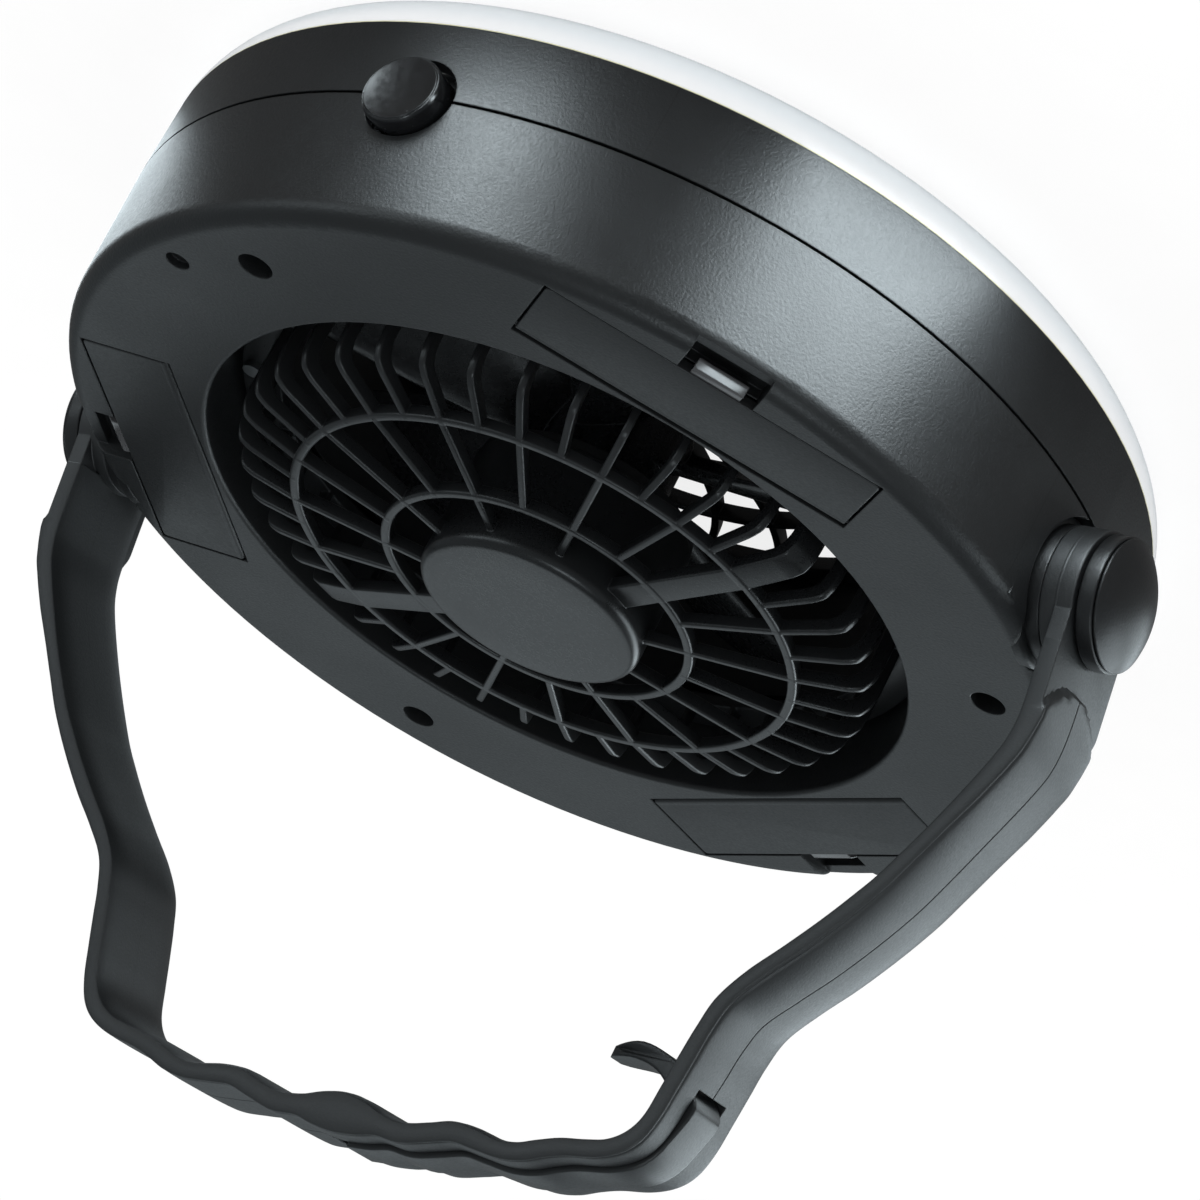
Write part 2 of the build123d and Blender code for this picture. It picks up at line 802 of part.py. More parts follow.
with BuildPart() as clamp_screws:
    with Locations((0, 0, grille_hub_bottom - clamp_thickness)):
        with PolarLocations(clamp_screw_circle, 2, start_angle=spoke_angle + 90):
            Cylinder(
                small_screw_head,
                small_screw_head_height,
                align=(Align.CENTER, Align.CENTER, Align.MAX),
            )
            Cylinder(
                small_screw_radius,
                clamp_screw_length,
                align=(Align.CENTER, Align.CENTER, Align.MIN),
            )
export_piece(clamp_screws.part, "clamp_screws")

with BuildPart() as motor_shaft:
    with Locations((0, 0, rotor_bottom + rotor_hub_wall)):
        Cylinder(
            shaft_radius,
            grille_hub_bottom + shaft_in_motor - rotor_bottom - rotor_hub_wall,
            align=(Align.CENTER, Align.CENTER, Align.MIN),
        )
export_piece(motor_shaft.part, "motor_shaft")

# Five-bladed fan with a cupped hub
blade_edge = -blade_edge_drop
blade_crown = blade_camber - blade_edge_drop
middle_height = (rotor_top + rotor_bottom) / 2
with BuildPart() as fan_rotor:
    with Locations((0, 0, rotor_bottom)):
        Cylinder(
            rotor_hub_radius,
            rotor_top - rotor_bottom,
            align=(Align.CENTER, Align.CENTER, Align.MIN),
        )
    with BuildPart(mode=Mode.PRIVATE) as blade:
        for radius, width, pitch in (
            (rotor_hub_radius - blade_root_sink, blade_root_width, blade_root_angle),
            (rotor_radius + blade_tip_trim, blade_tip_width, blade_tip_angle),
        ):
            with BuildSketch(Plane((radius, 0, middle_height), x_dir=(0, 1, 0), z_dir=(1, 0, 0))):
                with Locations(Location((0, 0, 0), (0, 0, pitch))):
                    with BuildLine():
                        ThreePointArc(
                            (-width / 2, blade_edge),
                            (0, blade_crown),
                            (width / 2, blade_edge),
                        )
                        Line((width / 2, blade_edge), (width / 2, blade_edge - blade_thickness))
                        ThreePointArc(
                            (width / 2, blade_edge - blade_thickness),
                            (0, blade_crown - blade_thickness),
                            (-width / 2, blade_edge - blade_thickness),
                        )
                        Line((-width / 2, blade_edge - blade_thickness), (-width / 2, blade_edge))
                    make_face()
        loft()
        with Locations((0, 0, middle_height)):
            Cylinder(rotor_radius, rotor_top - rotor_bottom, mode=Mode.INTERSECT)
    for index in range(blade_count):
        with Locations(Location((0, 0, 0), (0, 0, blade_start_angle + index * 360 / blade_count))):
            add(blade.part)
    with Locations((0, 0, rotor_bottom + rotor_hub_wall)):
        Cylinder(
            rotor_hub_radius - rotor_hub_wall,
            rotor_top,
            align=(Align.CENTER, Align.CENTER, Align.MIN),
            mode=Mode.SUBTRACT,
        )
        Cylinder(
            rotor_boss_radius,
            rotor_top - rotor_bottom - 2 * rotor_hub_wall,
            align=(Align.CENTER, Align.CENTER, Align.MIN),
        )
        Cylinder(
            shaft_radius,
            rotor_top,
            align=(Align.CENTER, Align.CENTER, Align.MIN),
            mode=Mode.SUBTRACT,
        )
    fillet(fan_rotor.edges().filter_by(GeomType.CIRCLE).group_by(Axis.Z)[0], radius=rotor_hub_edge)
export_piece(fan_rotor.part, "fan_rotor")

# Three battery bays, each with a hinged door, a cell, a pair of contact plates and a spring
for number, angle in enumerate(bay_angles, start=1):
    with BuildPart() as battery_door:
        with Locations(Location((0, 0, 0), (0, 0, angle))):
            with Locations((door_axis_radius, 0, body_depth)):
                Box(
                    door_outer - door_axis_radius,
                    door_length,
                    door_thickness,
                    align=(Align.MIN, Align.CENTER, Align.MAX),
                )
            with Locations(Location((door_axis_radius, 0, door_axis_height), (90, 0, 0))):
                Cylinder(door_thickness / 2, door_length)
                Cylinder(hinge_pin_radius, door_length + 2 * door_gap + 2 * hinge_pin_reach)
            with Locations((door_outer, 0, body_depth - latch_step)):
                Box(
                    latch_reach,
                    latch_width,
                    latch_drop - latch_step,
                    align=(Align.MIN, Align.CENTER, Align.MAX),
                )
    export_piece(battery_door.part, f"battery_door_{number}")

    with BuildPart() as battery_cell:
        with Locations(Location((0, 0, 0), (0, 0, angle))):
            with Locations(Location((bay_centre, cell_start, cell_height), (-90, 0, 0))):
                Cylinder(cell_radius, cell_length, align=(Align.CENTER, Align.CENTER, Align.MIN))
                Cylinder(
                    cell_nub_radius,
                    cell_length + cell_nub_length,
                    align=(Align.CENTER, Align.CENTER, Align.MIN),
                )
    export_piece(battery_cell.part, f"battery_cell_{number}")

with BuildPart() as contact_plates:
    for angle in bay_angles:
        with Locations(Location((0, 0, 0), (0, 0, angle))):
            with Locations((bay_centre, cell_end, cell_height), (bay_centre, -bay_length / 2, cell_height)):
                Box(
                    contact_width,
                    contact_thickness,
                    contact_width,
                    align=(Align.CENTER, Align.MIN, Align.CENTER),
                )
export_piece(contact_plates.part, "contact_plates")

# Coil springs between the far plate and the flat end of each cell
spring_start = -bay_length / 2 + contact_thickness + spring_wire
spring_length = cell_start - spring_wire - spring_start
with BuildPart() as battery_springs:
    with BuildPart(mode=Mode.PRIVATE) as spring:
        with BuildLine():
            Helix(pitch=spring_length / spring_turns, height=spring_length, radius=spring_radius)
        with BuildSketch(Plane((spring_radius, 0, 0), x_dir=(1, 0, 0), z_dir=(0, 1, 0))):
            RegularPolygon(spring_wire, spring_wire_sides)
        sweep(is_frenet=True)
    for angle in bay_angles:
        with Locations(Location((0, 0, 0), (0, 0, angle))):
            with Locations(Location((bay_centre, spring_start, cell_height), (-90, 0, 0))):
                add(spring.part)
export_piece(battery_springs.part, "battery_springs")

# Screws that hold the shells together, deep in their recesses
with BuildPart() as housing_screws:
    for angle in screw_angles:
        with Locations(Location((0, 0, 0), (0, 0, angle))):
            with Locations((screw_circle, 0, screw_floor_height + screw_floor_thickness)):
                Cylinder(
                    screw_head_radius,
                    screw_head_height,
                    align=(Align.CENTER, Align.CENTER, Align.MIN),
                )
                Cylinder(
                    screw_radius,
                    screw_length,
                    align=(Align.CENTER, Align.CENTER, Align.MAX),
                )
export_piece(housing_screws.part, "housing_screws")

# Power button with its retaining flange, the push switch behind it and the board that carries it
with BuildPart() as power_button:
    with Locations(Location((0, button_back, seam_height), (-90, 0, 0))):
        Cylinder(
            button_radius,
            button_reach - button_back,
            align=(Align.CENTER, Align.CENTER, Align.MIN),
        )
    fillet(power_button.edges().group_by(Axis.Y)[-1], radius=button_edge)
    with Locations((0, button_reach + button_dish_radius - button_dish_depth, seam_height)):
        Sphere(button_dish_radius, mode=Mode.SUBTRACT)
    with Locations(Location((0, button_back, seam_height), (-90, 0, 0))):
        Cylinder(
            button_flange_radius,
            button_flange_thickness,
            align=(Align.CENTER, Align.CENTER, Align.MAX),
        )
        Cylinder(
            button_stem_radius,
            button_back - stem_end,
            align=(Align.CENTER, Align.CENTER, Align.MAX),
        )
export_piece(power_button.part, "power_button")

with BuildPart() as switch_plunger:
    with Locations(Location((0, stem_end, seam_height), (-90, 0, 0))):
        Cylinder(
            plunger_radius,
            plunger_length + plunger_engagement,
            align=(Align.CENTER, Align.CENTER, Align.MAX),
        )
export_piece(switch_plunger.part, "switch_plunger")

with BuildPart() as power_switch:
    with Locations((0, switch_face, seam_height)):
        Box(switch_width, switch_depth, switch_width, align=(Align.CENTER, Align.MAX, Align.CENTER))
    with Locations(Location((0, switch_face, seam_height), (-90, 0, 0))):
        Cylinder(
            plunger_radius + running_gap,
            plunger_engagement + button_travel + seat_gap,
            align=(Align.CENTER, Align.CENTER, Align.MAX),
            mode=Mode.SUBTRACT,
        )
export_piece(power_switch.part, "power_switch")

with BuildPart() as control_board:
    with Locations((0, switch_face - switch_depth, partition_top)):
        Box(
            control_board_width,
            board_thickness,
            control_board_height,
            align=(Align.CENTER, Align.MAX, Align.MIN),
        )
export_piece(control_board.part, "control_board")

# Handle pivots: a friction washer, a domed knob whose neck carries the handle eye, and its screw
with BuildPart() as friction_washers:
    for side in (-1, 1):
        with Locations(Location((side * boss_face, 0, pivot_height), (0, side * 90, 0))):
            Cylinder(boss_radius, washer_thickness, align=(Align.CENTER, Align.CENTER, Align.MIN))
            Cylinder(
                neck_radius + running_gap,
                washer_thickness,
                align=(Align.CENTER, Align.CENTER, Align.MIN),
                mode=Mode.SUBTRACT,
            )
export_piece(friction_washers.part, "friction_washers")

pivot_axis = Axis((0, 0, pivot_height), (1, 0, 0))
pivot_section = Plane(origin=(0, 0, pivot_height), x_dir=(1, 0, 0), z_dir=(0, -1, 0))
neck_end = eye_outer_face + running_gap
ring_end = knob_face + knob_ring_thickness
with BuildPart() as pivot_bushings:
    with BuildSketch(pivot_section):
        with BuildLine():
            Polyline(
                (boss_face, screw_radius + screw_gap),
                (boss_face, neck_radius),
                (neck_end, neck_radius),
                (neck_end, shoulder_neck_radius),
                (knob_face, shoulder_neck_radius),
                (knob_face, knob_ring_radius),
                (ring_end, knob_ring_radius),
                (ring_end, pivot_screw_head + screw_gap),
                (knob_face, pivot_screw_head + screw_gap),
                (knob_face, screw_radius + screw_gap),
                close=True,
            )
        make_face()
    revolve(axis=pivot_axis)
    mirror(about=Plane.YZ)
export_piece(pivot_bushings.part, "pivot_bushings")

with BuildPart() as knob_caps:
    with BuildSketch(pivot_section):
        with BuildLine():
            Polyline(
                (ring_end + knob_dome_height, 0),
                (ring_end - cap_spigot_length, 0),
                (ring_end - cap_spigot_length, pivot_screw_head),
                (ring_end, pivot_screw_head),
                (ring_end, knob_dome_radius),
                (ring_end + cap_rim, knob_dome_radius),
            )
            TangentArc(
                (ring_end + knob_dome_height, 0),
                (ring_end + cap_rim, knob_dome_radius),
                tangent=(0, 1),
            )
        make_face()
    revolve(axis=pivot_axis)
    mirror(about=Plane.YZ)
export_piece(knob_caps.part, "knob_caps")

with BuildPart() as pivot_screws:
    with BuildSketch(pivot_section):
        with BuildLine():
            Polyline(
                (pivot_screw_tip, 0),
                (pivot_screw_tip, screw_radius),
                (knob_face, screw_radius),
                (knob_face, pivot_screw_head),
                (knob_face + pivot_screw_head_height, pivot_screw_head),
                (knob_face + pivot_screw_head_height, 0),
                close=True,
            )
        make_face()
    revolve(axis=pivot_axis)
    mirror(about=Plane.YZ)
export_piece(pivot_screws.part, "pivot_screws")

# Carrying handle: a ribbon with bevelled edges, raised along its arms, with a waved grip
arm_points = len([point for point in outer_run if point[1] <= arm_start])
grip_points = len(outer_run) - arm_points - len(shoulder_crowns)
outer_crowns = grip_points * [grip_crown] + shoulder_crowns + arm_points * [arm_crown]
crown_outer_run = moved_aside(outer_run, [-crown for crown in outer_crowns])
crown_inner_run = moved_aside(inner_run, len(inner_run) * [inner_crown])
handle_sections = (
    (-handle_width / 2, outer_run, inner_run),
    (-handle_width / 2 + handle_edge, crown_outer_run, crown_inner_run),
    (handle_width / 2 + handle_back_width - handle_back_edge, crown_outer_run, crown_inner_run),
    (handle_width / 2 + handle_back_width, outer_run, inner_run),
)
tab_outline = [
    (-handle_width / 2, 0),
    (-handle_width / 2, tab_end),
    (handle_width / 2, tab_taper_end),
    (tab_back, tab_end),
    (tab_back, 0),
]
with BuildPart() as handle:
    for across, section_outer, section_inner in handle_sections:
        with BuildSketch(handle_plane.offset(across)):
            with BuildLine():
                outer_spline = Spline(*both_sides(section_outer))
                inner_spline = Spline(*both_sides(section_inner))
                Line(outer_spline @ 0, inner_spline @ 0)
                Line(outer_spline @ 1, inner_spline @ 1)
            make_face()
    loft(ruled=True)
    for side in (-1, 1):
        eye_face = Plane(
            origin=(side * eye_outer_face, 0, pivot_height),
            x_dir=handle_plane.z_dir,
            z_dir=(side, 0, 0),
        )
        with BuildSketch(eye_face):
            with Locations((0, -side * (panel_end_height - handle_width) / 2)):
                Rectangle(2 * handle_width, panel_end_height + handle_width)
            with Locations((0, -side * panel_end_height)):
                Circle(panel_end_radius, mode=Mode.SUBTRACT)
        extrude(amount=handle_width, mode=Mode.SUBTRACT)
        with BuildSketch(eye_face):
            with BuildLine():
                Polyline([(deep, -side * along) for deep, along in tab_outline], close=True)
            make_face()
        extrude(amount=inner_run[-1][0] - eye_outer_face)
        with Locations(Location((side * eye_outer_face, 0, pivot_height), (0, side * 90, 0))):
            Cylinder(
                eye_radius,
                eye_thickness,
                align=(Align.CENTER, Align.CENTER, Align.MAX),
            )
            Cylinder(
                neck_radius + running_gap,
                handle_width,
                mode=Mode.SUBTRACT,
            )
    with BuildSketch(handle_plane):
        with BuildLine():
            channel_floor = Spline(*moved_aside(channel_run, len(channel_run) * [channel_depth]))
            channel_top = Spline(*moved_aside(channel_run, len(channel_run) * [-channel_clearance]))
            Line(channel_floor @ 0, channel_top @ 0)
            Line(channel_floor @ 1, channel_top @ 1)
        make_face()
        with BuildLine():
            Polyline(*stretched(hook_window), close=True)
        make_face()
        with Locations((0, hook_pivot_height)):
            Circle(hook_knuckle_radius + hook_channel_gap)
        with Locations((hook_pin_radius, hook_pivot_height - hook_channel_gap)):
            Rectangle(
                hook_pin_radius + hook_relief,
                hook_relief_height,
                align=(Align.MAX, Align.MIN),
            )
    extrude(amount=hook_slot / 2, both=True, mode=Mode.SUBTRACT)
    with BuildSketch(handle_plane):
        with Locations((0, hook_pivot_height)):
            Circle(hook_pin_radius + drive_gap)
    extrude(amount=handle_width, both=True, mode=Mode.SUBTRACT)
export_piece(handle.part, "handle")

# Fold-out hanging hook, lying in the channel of the grip with its finger through the handle
with BuildPart() as hook:
    with BuildSketch(handle_plane):
        with BuildLine():
            shank_top = Spline(*moved_aside(shank_run, len(shank_run) * [-hook_proud]))
            shank_under = Spline(*moved_aside(shank_run, len(shank_run) * [hook_under]))
            Line(shank_top @ 0, shank_under @ 0)
            Line(shank_top @ 1, shank_under @ 1)
        make_face()
        with BuildLine():
            finger_back = Spline(*stretched(hook_finger_outer))
            finger_belly = Spline(*stretched(hook_finger_inner))
            Line(finger_back @ 1, finger_belly @ 0)
            Line(finger_belly @ 1, finger_back @ 0)
        make_face()
        with Locations((0, hook_pivot_height)):
            Circle(hook_knuckle_radius)
    extrude(amount=hook_width / 2, both=True)
    with BuildSketch(handle_plane):
        with Locations((0, hook_pivot_height)):
            Circle(hook_pin_radius + running_gap)
    extrude(amount=handle_width, both=True, mode=Mode.SUBTRACT)
export_piece(hook.part, "hook")

with BuildPart() as hook_pin:
    with BuildSketch(handle_plane):
        with Locations((0, hook_pivot_height)):
            Circle(hook_pin_radius)
    extrude(amount=handle_width / 2 - hook_pin_sink, both=True)
export_piece(hook_pin.part, "hook_pin")
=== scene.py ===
from math import cos, pi, radians, sin, sqrt

import bmesh
import bpy
from mathutils import Matrix, Vector
from mathutils.geometry import tessellate_polygon


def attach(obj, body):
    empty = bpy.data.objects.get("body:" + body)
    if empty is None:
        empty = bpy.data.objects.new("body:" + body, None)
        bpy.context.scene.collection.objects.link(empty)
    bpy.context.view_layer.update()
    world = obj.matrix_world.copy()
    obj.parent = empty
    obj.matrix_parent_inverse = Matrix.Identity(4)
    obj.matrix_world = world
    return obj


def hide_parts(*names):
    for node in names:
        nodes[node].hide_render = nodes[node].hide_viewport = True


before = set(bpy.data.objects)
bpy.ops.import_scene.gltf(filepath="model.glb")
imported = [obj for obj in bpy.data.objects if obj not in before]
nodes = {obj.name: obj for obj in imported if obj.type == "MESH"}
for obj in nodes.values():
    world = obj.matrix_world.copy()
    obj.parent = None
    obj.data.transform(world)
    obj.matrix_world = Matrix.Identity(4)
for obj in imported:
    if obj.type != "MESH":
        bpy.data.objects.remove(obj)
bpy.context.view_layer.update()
scene = bpy.context.scene
MM = 0.001

# ------------------------------------------------------------------ camera
CAMERA_PLACE = Vector((0.42125, 0.58693, 0.40068))
CAMERA_RIGHT = Vector((0.84313, -0.34094, -0.41580)).normalized()
CAMERA_UP = Vector((-0.15658, 0.58409, -0.79644))

camera_data = bpy.data.cameras.new("camera")
camera_data.lens = 150.0
camera_data.sensor_width = 36.0
camera = bpy.data.objects.new("camera", camera_data)
camera_back = CAMERA_RIGHT.cross(CAMERA_UP).normalized()
camera_turn = Matrix((CAMERA_RIGHT, camera_back.cross(CAMERA_RIGHT), camera_back)).transposed()
camera.matrix_world = Matrix.Translation(CAMERA_PLACE) @ camera_turn.to_4x4()
scene.collection.objects.link(camera)
scene.camera = camera
scene.view_settings.view_transform = "Standard"

# ------------------------------------------------------------------ shared sizes, in millimetres
BACK = 47.0
SEAM = 23.5
PIVOT = 35.0
LEAN = radians(14.75)
BUTTON_FACE = 91.9
BUTTON_FLANGE = 85.5
BUTTON_LIFT = 0.8


# ------------------------------------------------------------------ shader helpers
def add_node(tree, kind, inputs=None, **settings):
    """A shader node with its inputs set to values or linked to sockets."""
    node = tree.nodes.new(kind)
    for key, value in settings.items():
        setattr(node, key, value)
    for key, value in (inputs or {}).items():
        if isinstance(value, bpy.types.NodeSocket):
            tree.links.new(value, node.inputs[key])
        else:
            node.inputs[key].default_value = value
    return node


def noise(tree, place, scale, detail=2.0, roughness=0.5):
    inputs = {"Vector": place, "Scale": scale, "Detail": detail, "Roughness": roughness}
    return add_node(tree, "ShaderNodeTexNoise", inputs).outputs["Fac"]


def remap(tree, value, low, high, new_low, new_high):
    inputs = {"From Min": low, "From Max": high, "To Min": new_low, "To Max": new_high}
    inputs["Value"] = value
    return add_node(tree, "ShaderNodeMapRange", inputs).outputs["Result"]


def maths(tree, operation, first, second):
    return add_node(tree, "ShaderNodeMath", {0: first, 1: second}, operation=operation).outputs[0]


def blend_colours(tree, share, first, second):
    """Mix two colours, each given as numbers or as a socket."""
    node = add_node(tree, "ShaderNodeMix", {0: share}, data_type="RGBA")
    for socket, value in ((node.inputs[6], first), (node.inputs[7], second)):
        if isinstance(value, bpy.types.NodeSocket):
            tree.links.new(value, socket)
        else:
            socket.default_value = (*value, 1.0)
    return node.outputs[2]


def new_material(name):
    """A material with its node tree, its shader and the object's own coordinates."""
    material = bpy.data.materials.new(name)
    material.use_nodes = True
    tree = material.node_tree
    shader = tree.nodes["Principled BSDF"]
    place = add_node(tree, "ShaderNodeTexCoord").outputs["Object"]
    return material, tree, shader, place


def edge_mask(tree, radius):
    """Where the surface turns over an edge, with the normal that an eased edge would have."""
    bevel = add_node(tree, "ShaderNodeBevel", {"Radius": radius * MM}, samples=4).outputs["Normal"]
    plain = add_node(tree, "ShaderNodeNewGeometry").outputs["Normal"]
    turn = add_node(tree, "ShaderNodeVectorMath", {0: bevel, 1: plain}, operation="DOT_PRODUCT")
    return bevel, remap(tree, turn.outputs["Value"], 1.0, 0.86, 0.0, 1.0)


def bump(tree, height, depth, normal=None):
    """A normal roughened by a height, to a depth in millimetres."""
    inputs = {"Height": height, "Distance": depth * MM}
    if normal is not None:
        inputs["Normal"] = normal
    return add_node(tree, "ShaderNodeBump", inputs).outputs["Normal"]


def shaded(colour, factor, lift=0.0):
    """A darker or lighter version of a colour."""
    return tuple(part * factor + lift for part in colour)


def grained(
    name, colour, rough, grain=0.45, depth=0.02, wear=0.5, specular=0.5, ease=0.35, lines=None
):
    """Moulded plastic: fine spark grain, blotchy gloss and paler rubbed edges.

    The grain's size and depth and the easing of edges are in millimetres. A colour's darker lines
    come from a function of the coordinates.
    """
    material, tree, shader, place = new_material(name)
    fine = noise(tree, place, 1000.0 / grain, 2.5, 0.6)
    broad = noise(tree, place, 28.0, 4.0, 0.6)
    bevel, edge = edge_mask(tree, ease)
    patches = remap(tree, noise(tree, place, 160.0, 3.0), 0.35, 0.7, 0.3, 1.0)
    rubbed = maths(tree, "MULTIPLY", edge, patches)
    dark = shaded(colour, 0.86)
    light = shaded(colour, 1.14)
    worn = shaded(colour, 2.0, 0.012)
    base = blend_colours(tree, remap(tree, broad, 0.3, 0.7, 0.0, 1.0), dark, light)
    base = blend_colours(tree, maths(tree, "MULTIPLY", rubbed, wear), base, worn)
    shader.inputs["Specular IOR Level"].default_value = specular
    if lines is not None:
        # darker lines: mould and parting lines, and painted shade along a seam's edges
        base = blend_colours(tree, lines(tree, place), base, shaded(colour, 0.25))
    tree.links.new(base, shader.inputs["Base Color"])
    blotches = remap(tree, broad, 0.3, 0.7, -0.04, 0.05)
    speckle = remap(tree, fine, 0.3, 0.7, -0.05, 0.05)
    spread = maths(tree, "ADD", blotches, speckle)
    polished = maths(tree, "MULTIPLY", rubbed, -0.1 * wear)
    gloss = maths(tree, "ADD", maths(tree, "ADD", spread, polished), rough)
    tree.links.new(gloss, shader.inputs["Roughness"])
    tree.links.new(bump(tree, fine, depth, bevel), shader.inputs["Normal"])
    return material


def bearing(tree, place):
    """Direction of a point from the fan axis, in degrees."""
    parts = add_node(tree, "ShaderNodeSeparateXYZ", {0: place})
    angle = maths(tree, "ARCTAN2", parts.outputs["Y"], parts.outputs["X"])
    return maths(tree, "MULTIPLY", angle, 180.0 / pi)


def mould_line_and_seam_shade(degrees, seam):
    """A faint vertical line left by the mould at one bearing, and painted shade at the seam's edge
    that widens the dark gap.
    """

    def line(tree, place):
        away = maths(tree, "ABSOLUTE", maths(tree, "SUBTRACT", bearing(tree, place), degrees), 0.0)
        height = add_node(tree, "ShaderNodeSeparateXYZ", {0: place}).outputs["Z"]
        gap = maths(tree, "ABSOLUTE", maths(tree, "SUBTRACT", height, seam * MM), 0.0)
        upright = remap(tree, away, 0.05, 0.09, 0.6, 0.0)
        # painted shade: a dark band within 0.2 mm of the seam, widening the dark gap between the
        # shells
        seam_shade = remap(tree, gap, 0.1 * MM, 0.2 * MM, 1.0, 0.0)
        return maths(tree, "MAXIMUM", upright, seam_shade)

    return line


def parting_line(tree, place):
    """The line that the two mould halves leave along the middle of the handle."""
    across = (0.0, -cos(LEAN), -sin(LEAN))
    deep = add_node(tree, "ShaderNodeVectorMath", {0: place, 1: across}, operation="DOT_PRODUCT")
    centre = PIVOT * MM * -sin(LEAN)
    away = maths(tree, "ABSOLUTE", maths(tree, "SUBTRACT", deep.outputs["Value"], centre), 0.0)
    return remap(tree, away, 0.05 * MM, 0.13 * MM, 0.85, 0.0)


def metal(name, colour, rough, brush=(60.0, 60.0, 900.0)):
    """Plain bright metal with drawn scratches and dull patches."""
    material, tree, shader, place = new_material(name)
    along = add_node(tree, "ShaderNodeMapping", {"Vector": place, "Scale": brush}).outputs[0]
    streaks = noise(tree, along, 4.0, 3.0, 0.7)
    dull = noise(tree, place, 120.0, 3.0)
    bevel = edge_mask(tree, 0.15)[0]
    stains = remap(tree, dull, 0.35, 0.75, 0.0, 0.8)
    base = blend_colours(tree, stains, colour, shaded(colour, 0.6))
    tree.links.new(base, shader.inputs["Base Color"])
    scratched = maths(tree, "ADD", streaks, dull)
    gloss = remap(tree, scratched, 0.6, 1.4, rough - 0.08, rough + 0.14)
    tree.links.new(gloss, shader.inputs["Roughness"])
    shader.inputs["Metallic"].default_value = 1.0
    tree.links.new(bump(tree, streaks, 0.004, bevel), shader.inputs["Normal"])
    return material


def milky(name):
    """Milky lamp lens: cool white, with a painted highlight band beside the bezel, a thin warm line
    at the joint and a faint painted glow.
    """
    material, tree, shader, place = new_material(name)
    height = add_node(tree, "ShaderNodeSeparateXYZ", {0: place}).outputs["Z"]
    cloud = noise(tree, place, 22.0, 3.0)
    ripple = noise(tree, place, 900.0, 2.0)
    clouded = remap(tree, cloud, 0.3, 0.7, 0.0, 1.0)
    # painted highlight: a whiter band just below the bezel joint
    beside = remap(tree, height, 5.6 * MM, 7.6 * MM, 0.0, 1.0)
    joint = remap(tree, height, 8.70 * MM, 8.85 * MM, 0.0, 1.0)
    base = blend_colours(tree, clouded, (0.86, 0.91, 0.95), (0.91, 0.95, 0.98))
    base = blend_colours(tree, beside, base, (0.98, 0.99, 1.0))
    base = blend_colours(tree, joint, base, (0.70, 0.68, 0.42))
    tree.links.new(base, shader.inputs["Base Color"])
    tree.links.new(remap(tree, cloud, 0.3, 0.7, 0.26, 0.36), shader.inputs["Roughness"])
    shader.inputs["Subsurface Weight"].default_value = 0.35
    shader.inputs["Subsurface Radius"].default_value = (1.0, 1.0, 1.0)
    shader.inputs["Subsurface Scale"].default_value = 1.2 * MM
    # a faint cool glow painted into the lens to brighten it
    shader.inputs["Emission Color"].default_value = (0.88, 0.95, 1.0, 1.0)
    shader.inputs["Emission Strength"].default_value = 0.14
    tree.links.new(bump(tree, ripple, 0.004), shader.inputs["Normal"])
    return material


def cell_wrap(name):
    """Plain dark blue shrink wrap of a battery cell."""
    material, tree, shader, place = new_material(name)
    cloud = noise(tree, place, 40.0, 3.0)
    fine = noise(tree, place, 1500.0, 2.0)
    clouded = remap(tree, cloud, 0.3, 0.7, 0.0, 1.0)
    base = blend_colours(tree, clouded, (0.05, 0.09, 0.14), (0.07, 0.12, 0.18))
    tree.links.new(base, shader.inputs["Base Color"])
    tree.links.new(remap(tree, cloud, 0.3, 0.7, 0.22, 0.34), shader.inputs["Roughness"])
    tree.links.new(bump(tree, fine, 0.003), shader.inputs["Normal"])
    return material


SHELL = (0.0088, 0.0100, 0.0110)
# the latch tabs' paler grey is a painted highlight on their faces
LATCH = (0.05, 0.052, 0.055)
HANDLE = (0.0120, 0.0140, 0.0155)
HOOK = (0.0095, 0.0110, 0.0122)
KNOB = (0.0080, 0.0088, 0.0098)
BUTTON = (0.0070, 0.0076, 0.0086)
GRILLE = (0.0080, 0.0090, 0.0100)
ROTOR = (0.0055, 0.0060, 0.0068)
INNER = (0.0070, 0.0076, 0.0084)
RUBBER = (0.014, 0.014, 0.0145)
shell_black = grained("shell_black", SHELL, 0.42, 0.5, 0.05, lines=mould_line_and_seam_shade(10.6, SEAM))
bezel_black = grained("bezel_black", SHELL, 0.42, 0.5, 0.05, lines=mould_line_and_seam_shade(65.0, SEAM - 0.5))
door_black = grained("door_black", SHELL, 0.44, 0.45, 0.035, ease=0.2)
latch_painted_sheen = grained("latch_painted_sheen", LATCH, 0.16, 1.2, 0.003, wear=0.3, ease=0.15, specular=1.0)
handle_black = grained(
    "handle_black", HANDLE, 0.47, 0.42, 0.03, specular=0.62, lines=parting_line
)
hook_black = grained("hook_black", HOOK, 0.38, 0.42, 0.02)
knob_black = grained("knob_black", KNOB, 0.36, 0.36, 0.03)
button_black = grained("button_black", BUTTON, 0.24, 1.1, 0.003, wear=0.8, ease=0.2)
grille_black = grained("grille_black", GRILLE, 0.32, 0.45, 0.014, wear=0.8, ease=0.25)
rotor_black = grained("rotor_black", ROTOR, 0.26, 1.4, 0.006, wear=0.4)
inner_black = grained("inner_black", INNER, 0.45, 0.6, 0.02, wear=0.3)
rubber = grained("washer_rubber", RUBBER, 0.62, 0.3, 0.02, wear=0.2, specular=0.35)
switch_plastic = grained("switch_plastic", (0.03, 0.03, 0.032), 0.4, 0.8, 0.01)
board_green = grained("board_green", (0.02, 0.11, 0.05), 0.35, 1.6, 0.006, wear=0.2)
board_white = grained("board_white", (0.62, 0.63, 0.6), 0.4, 1.6, 0.006, wear=0.1)
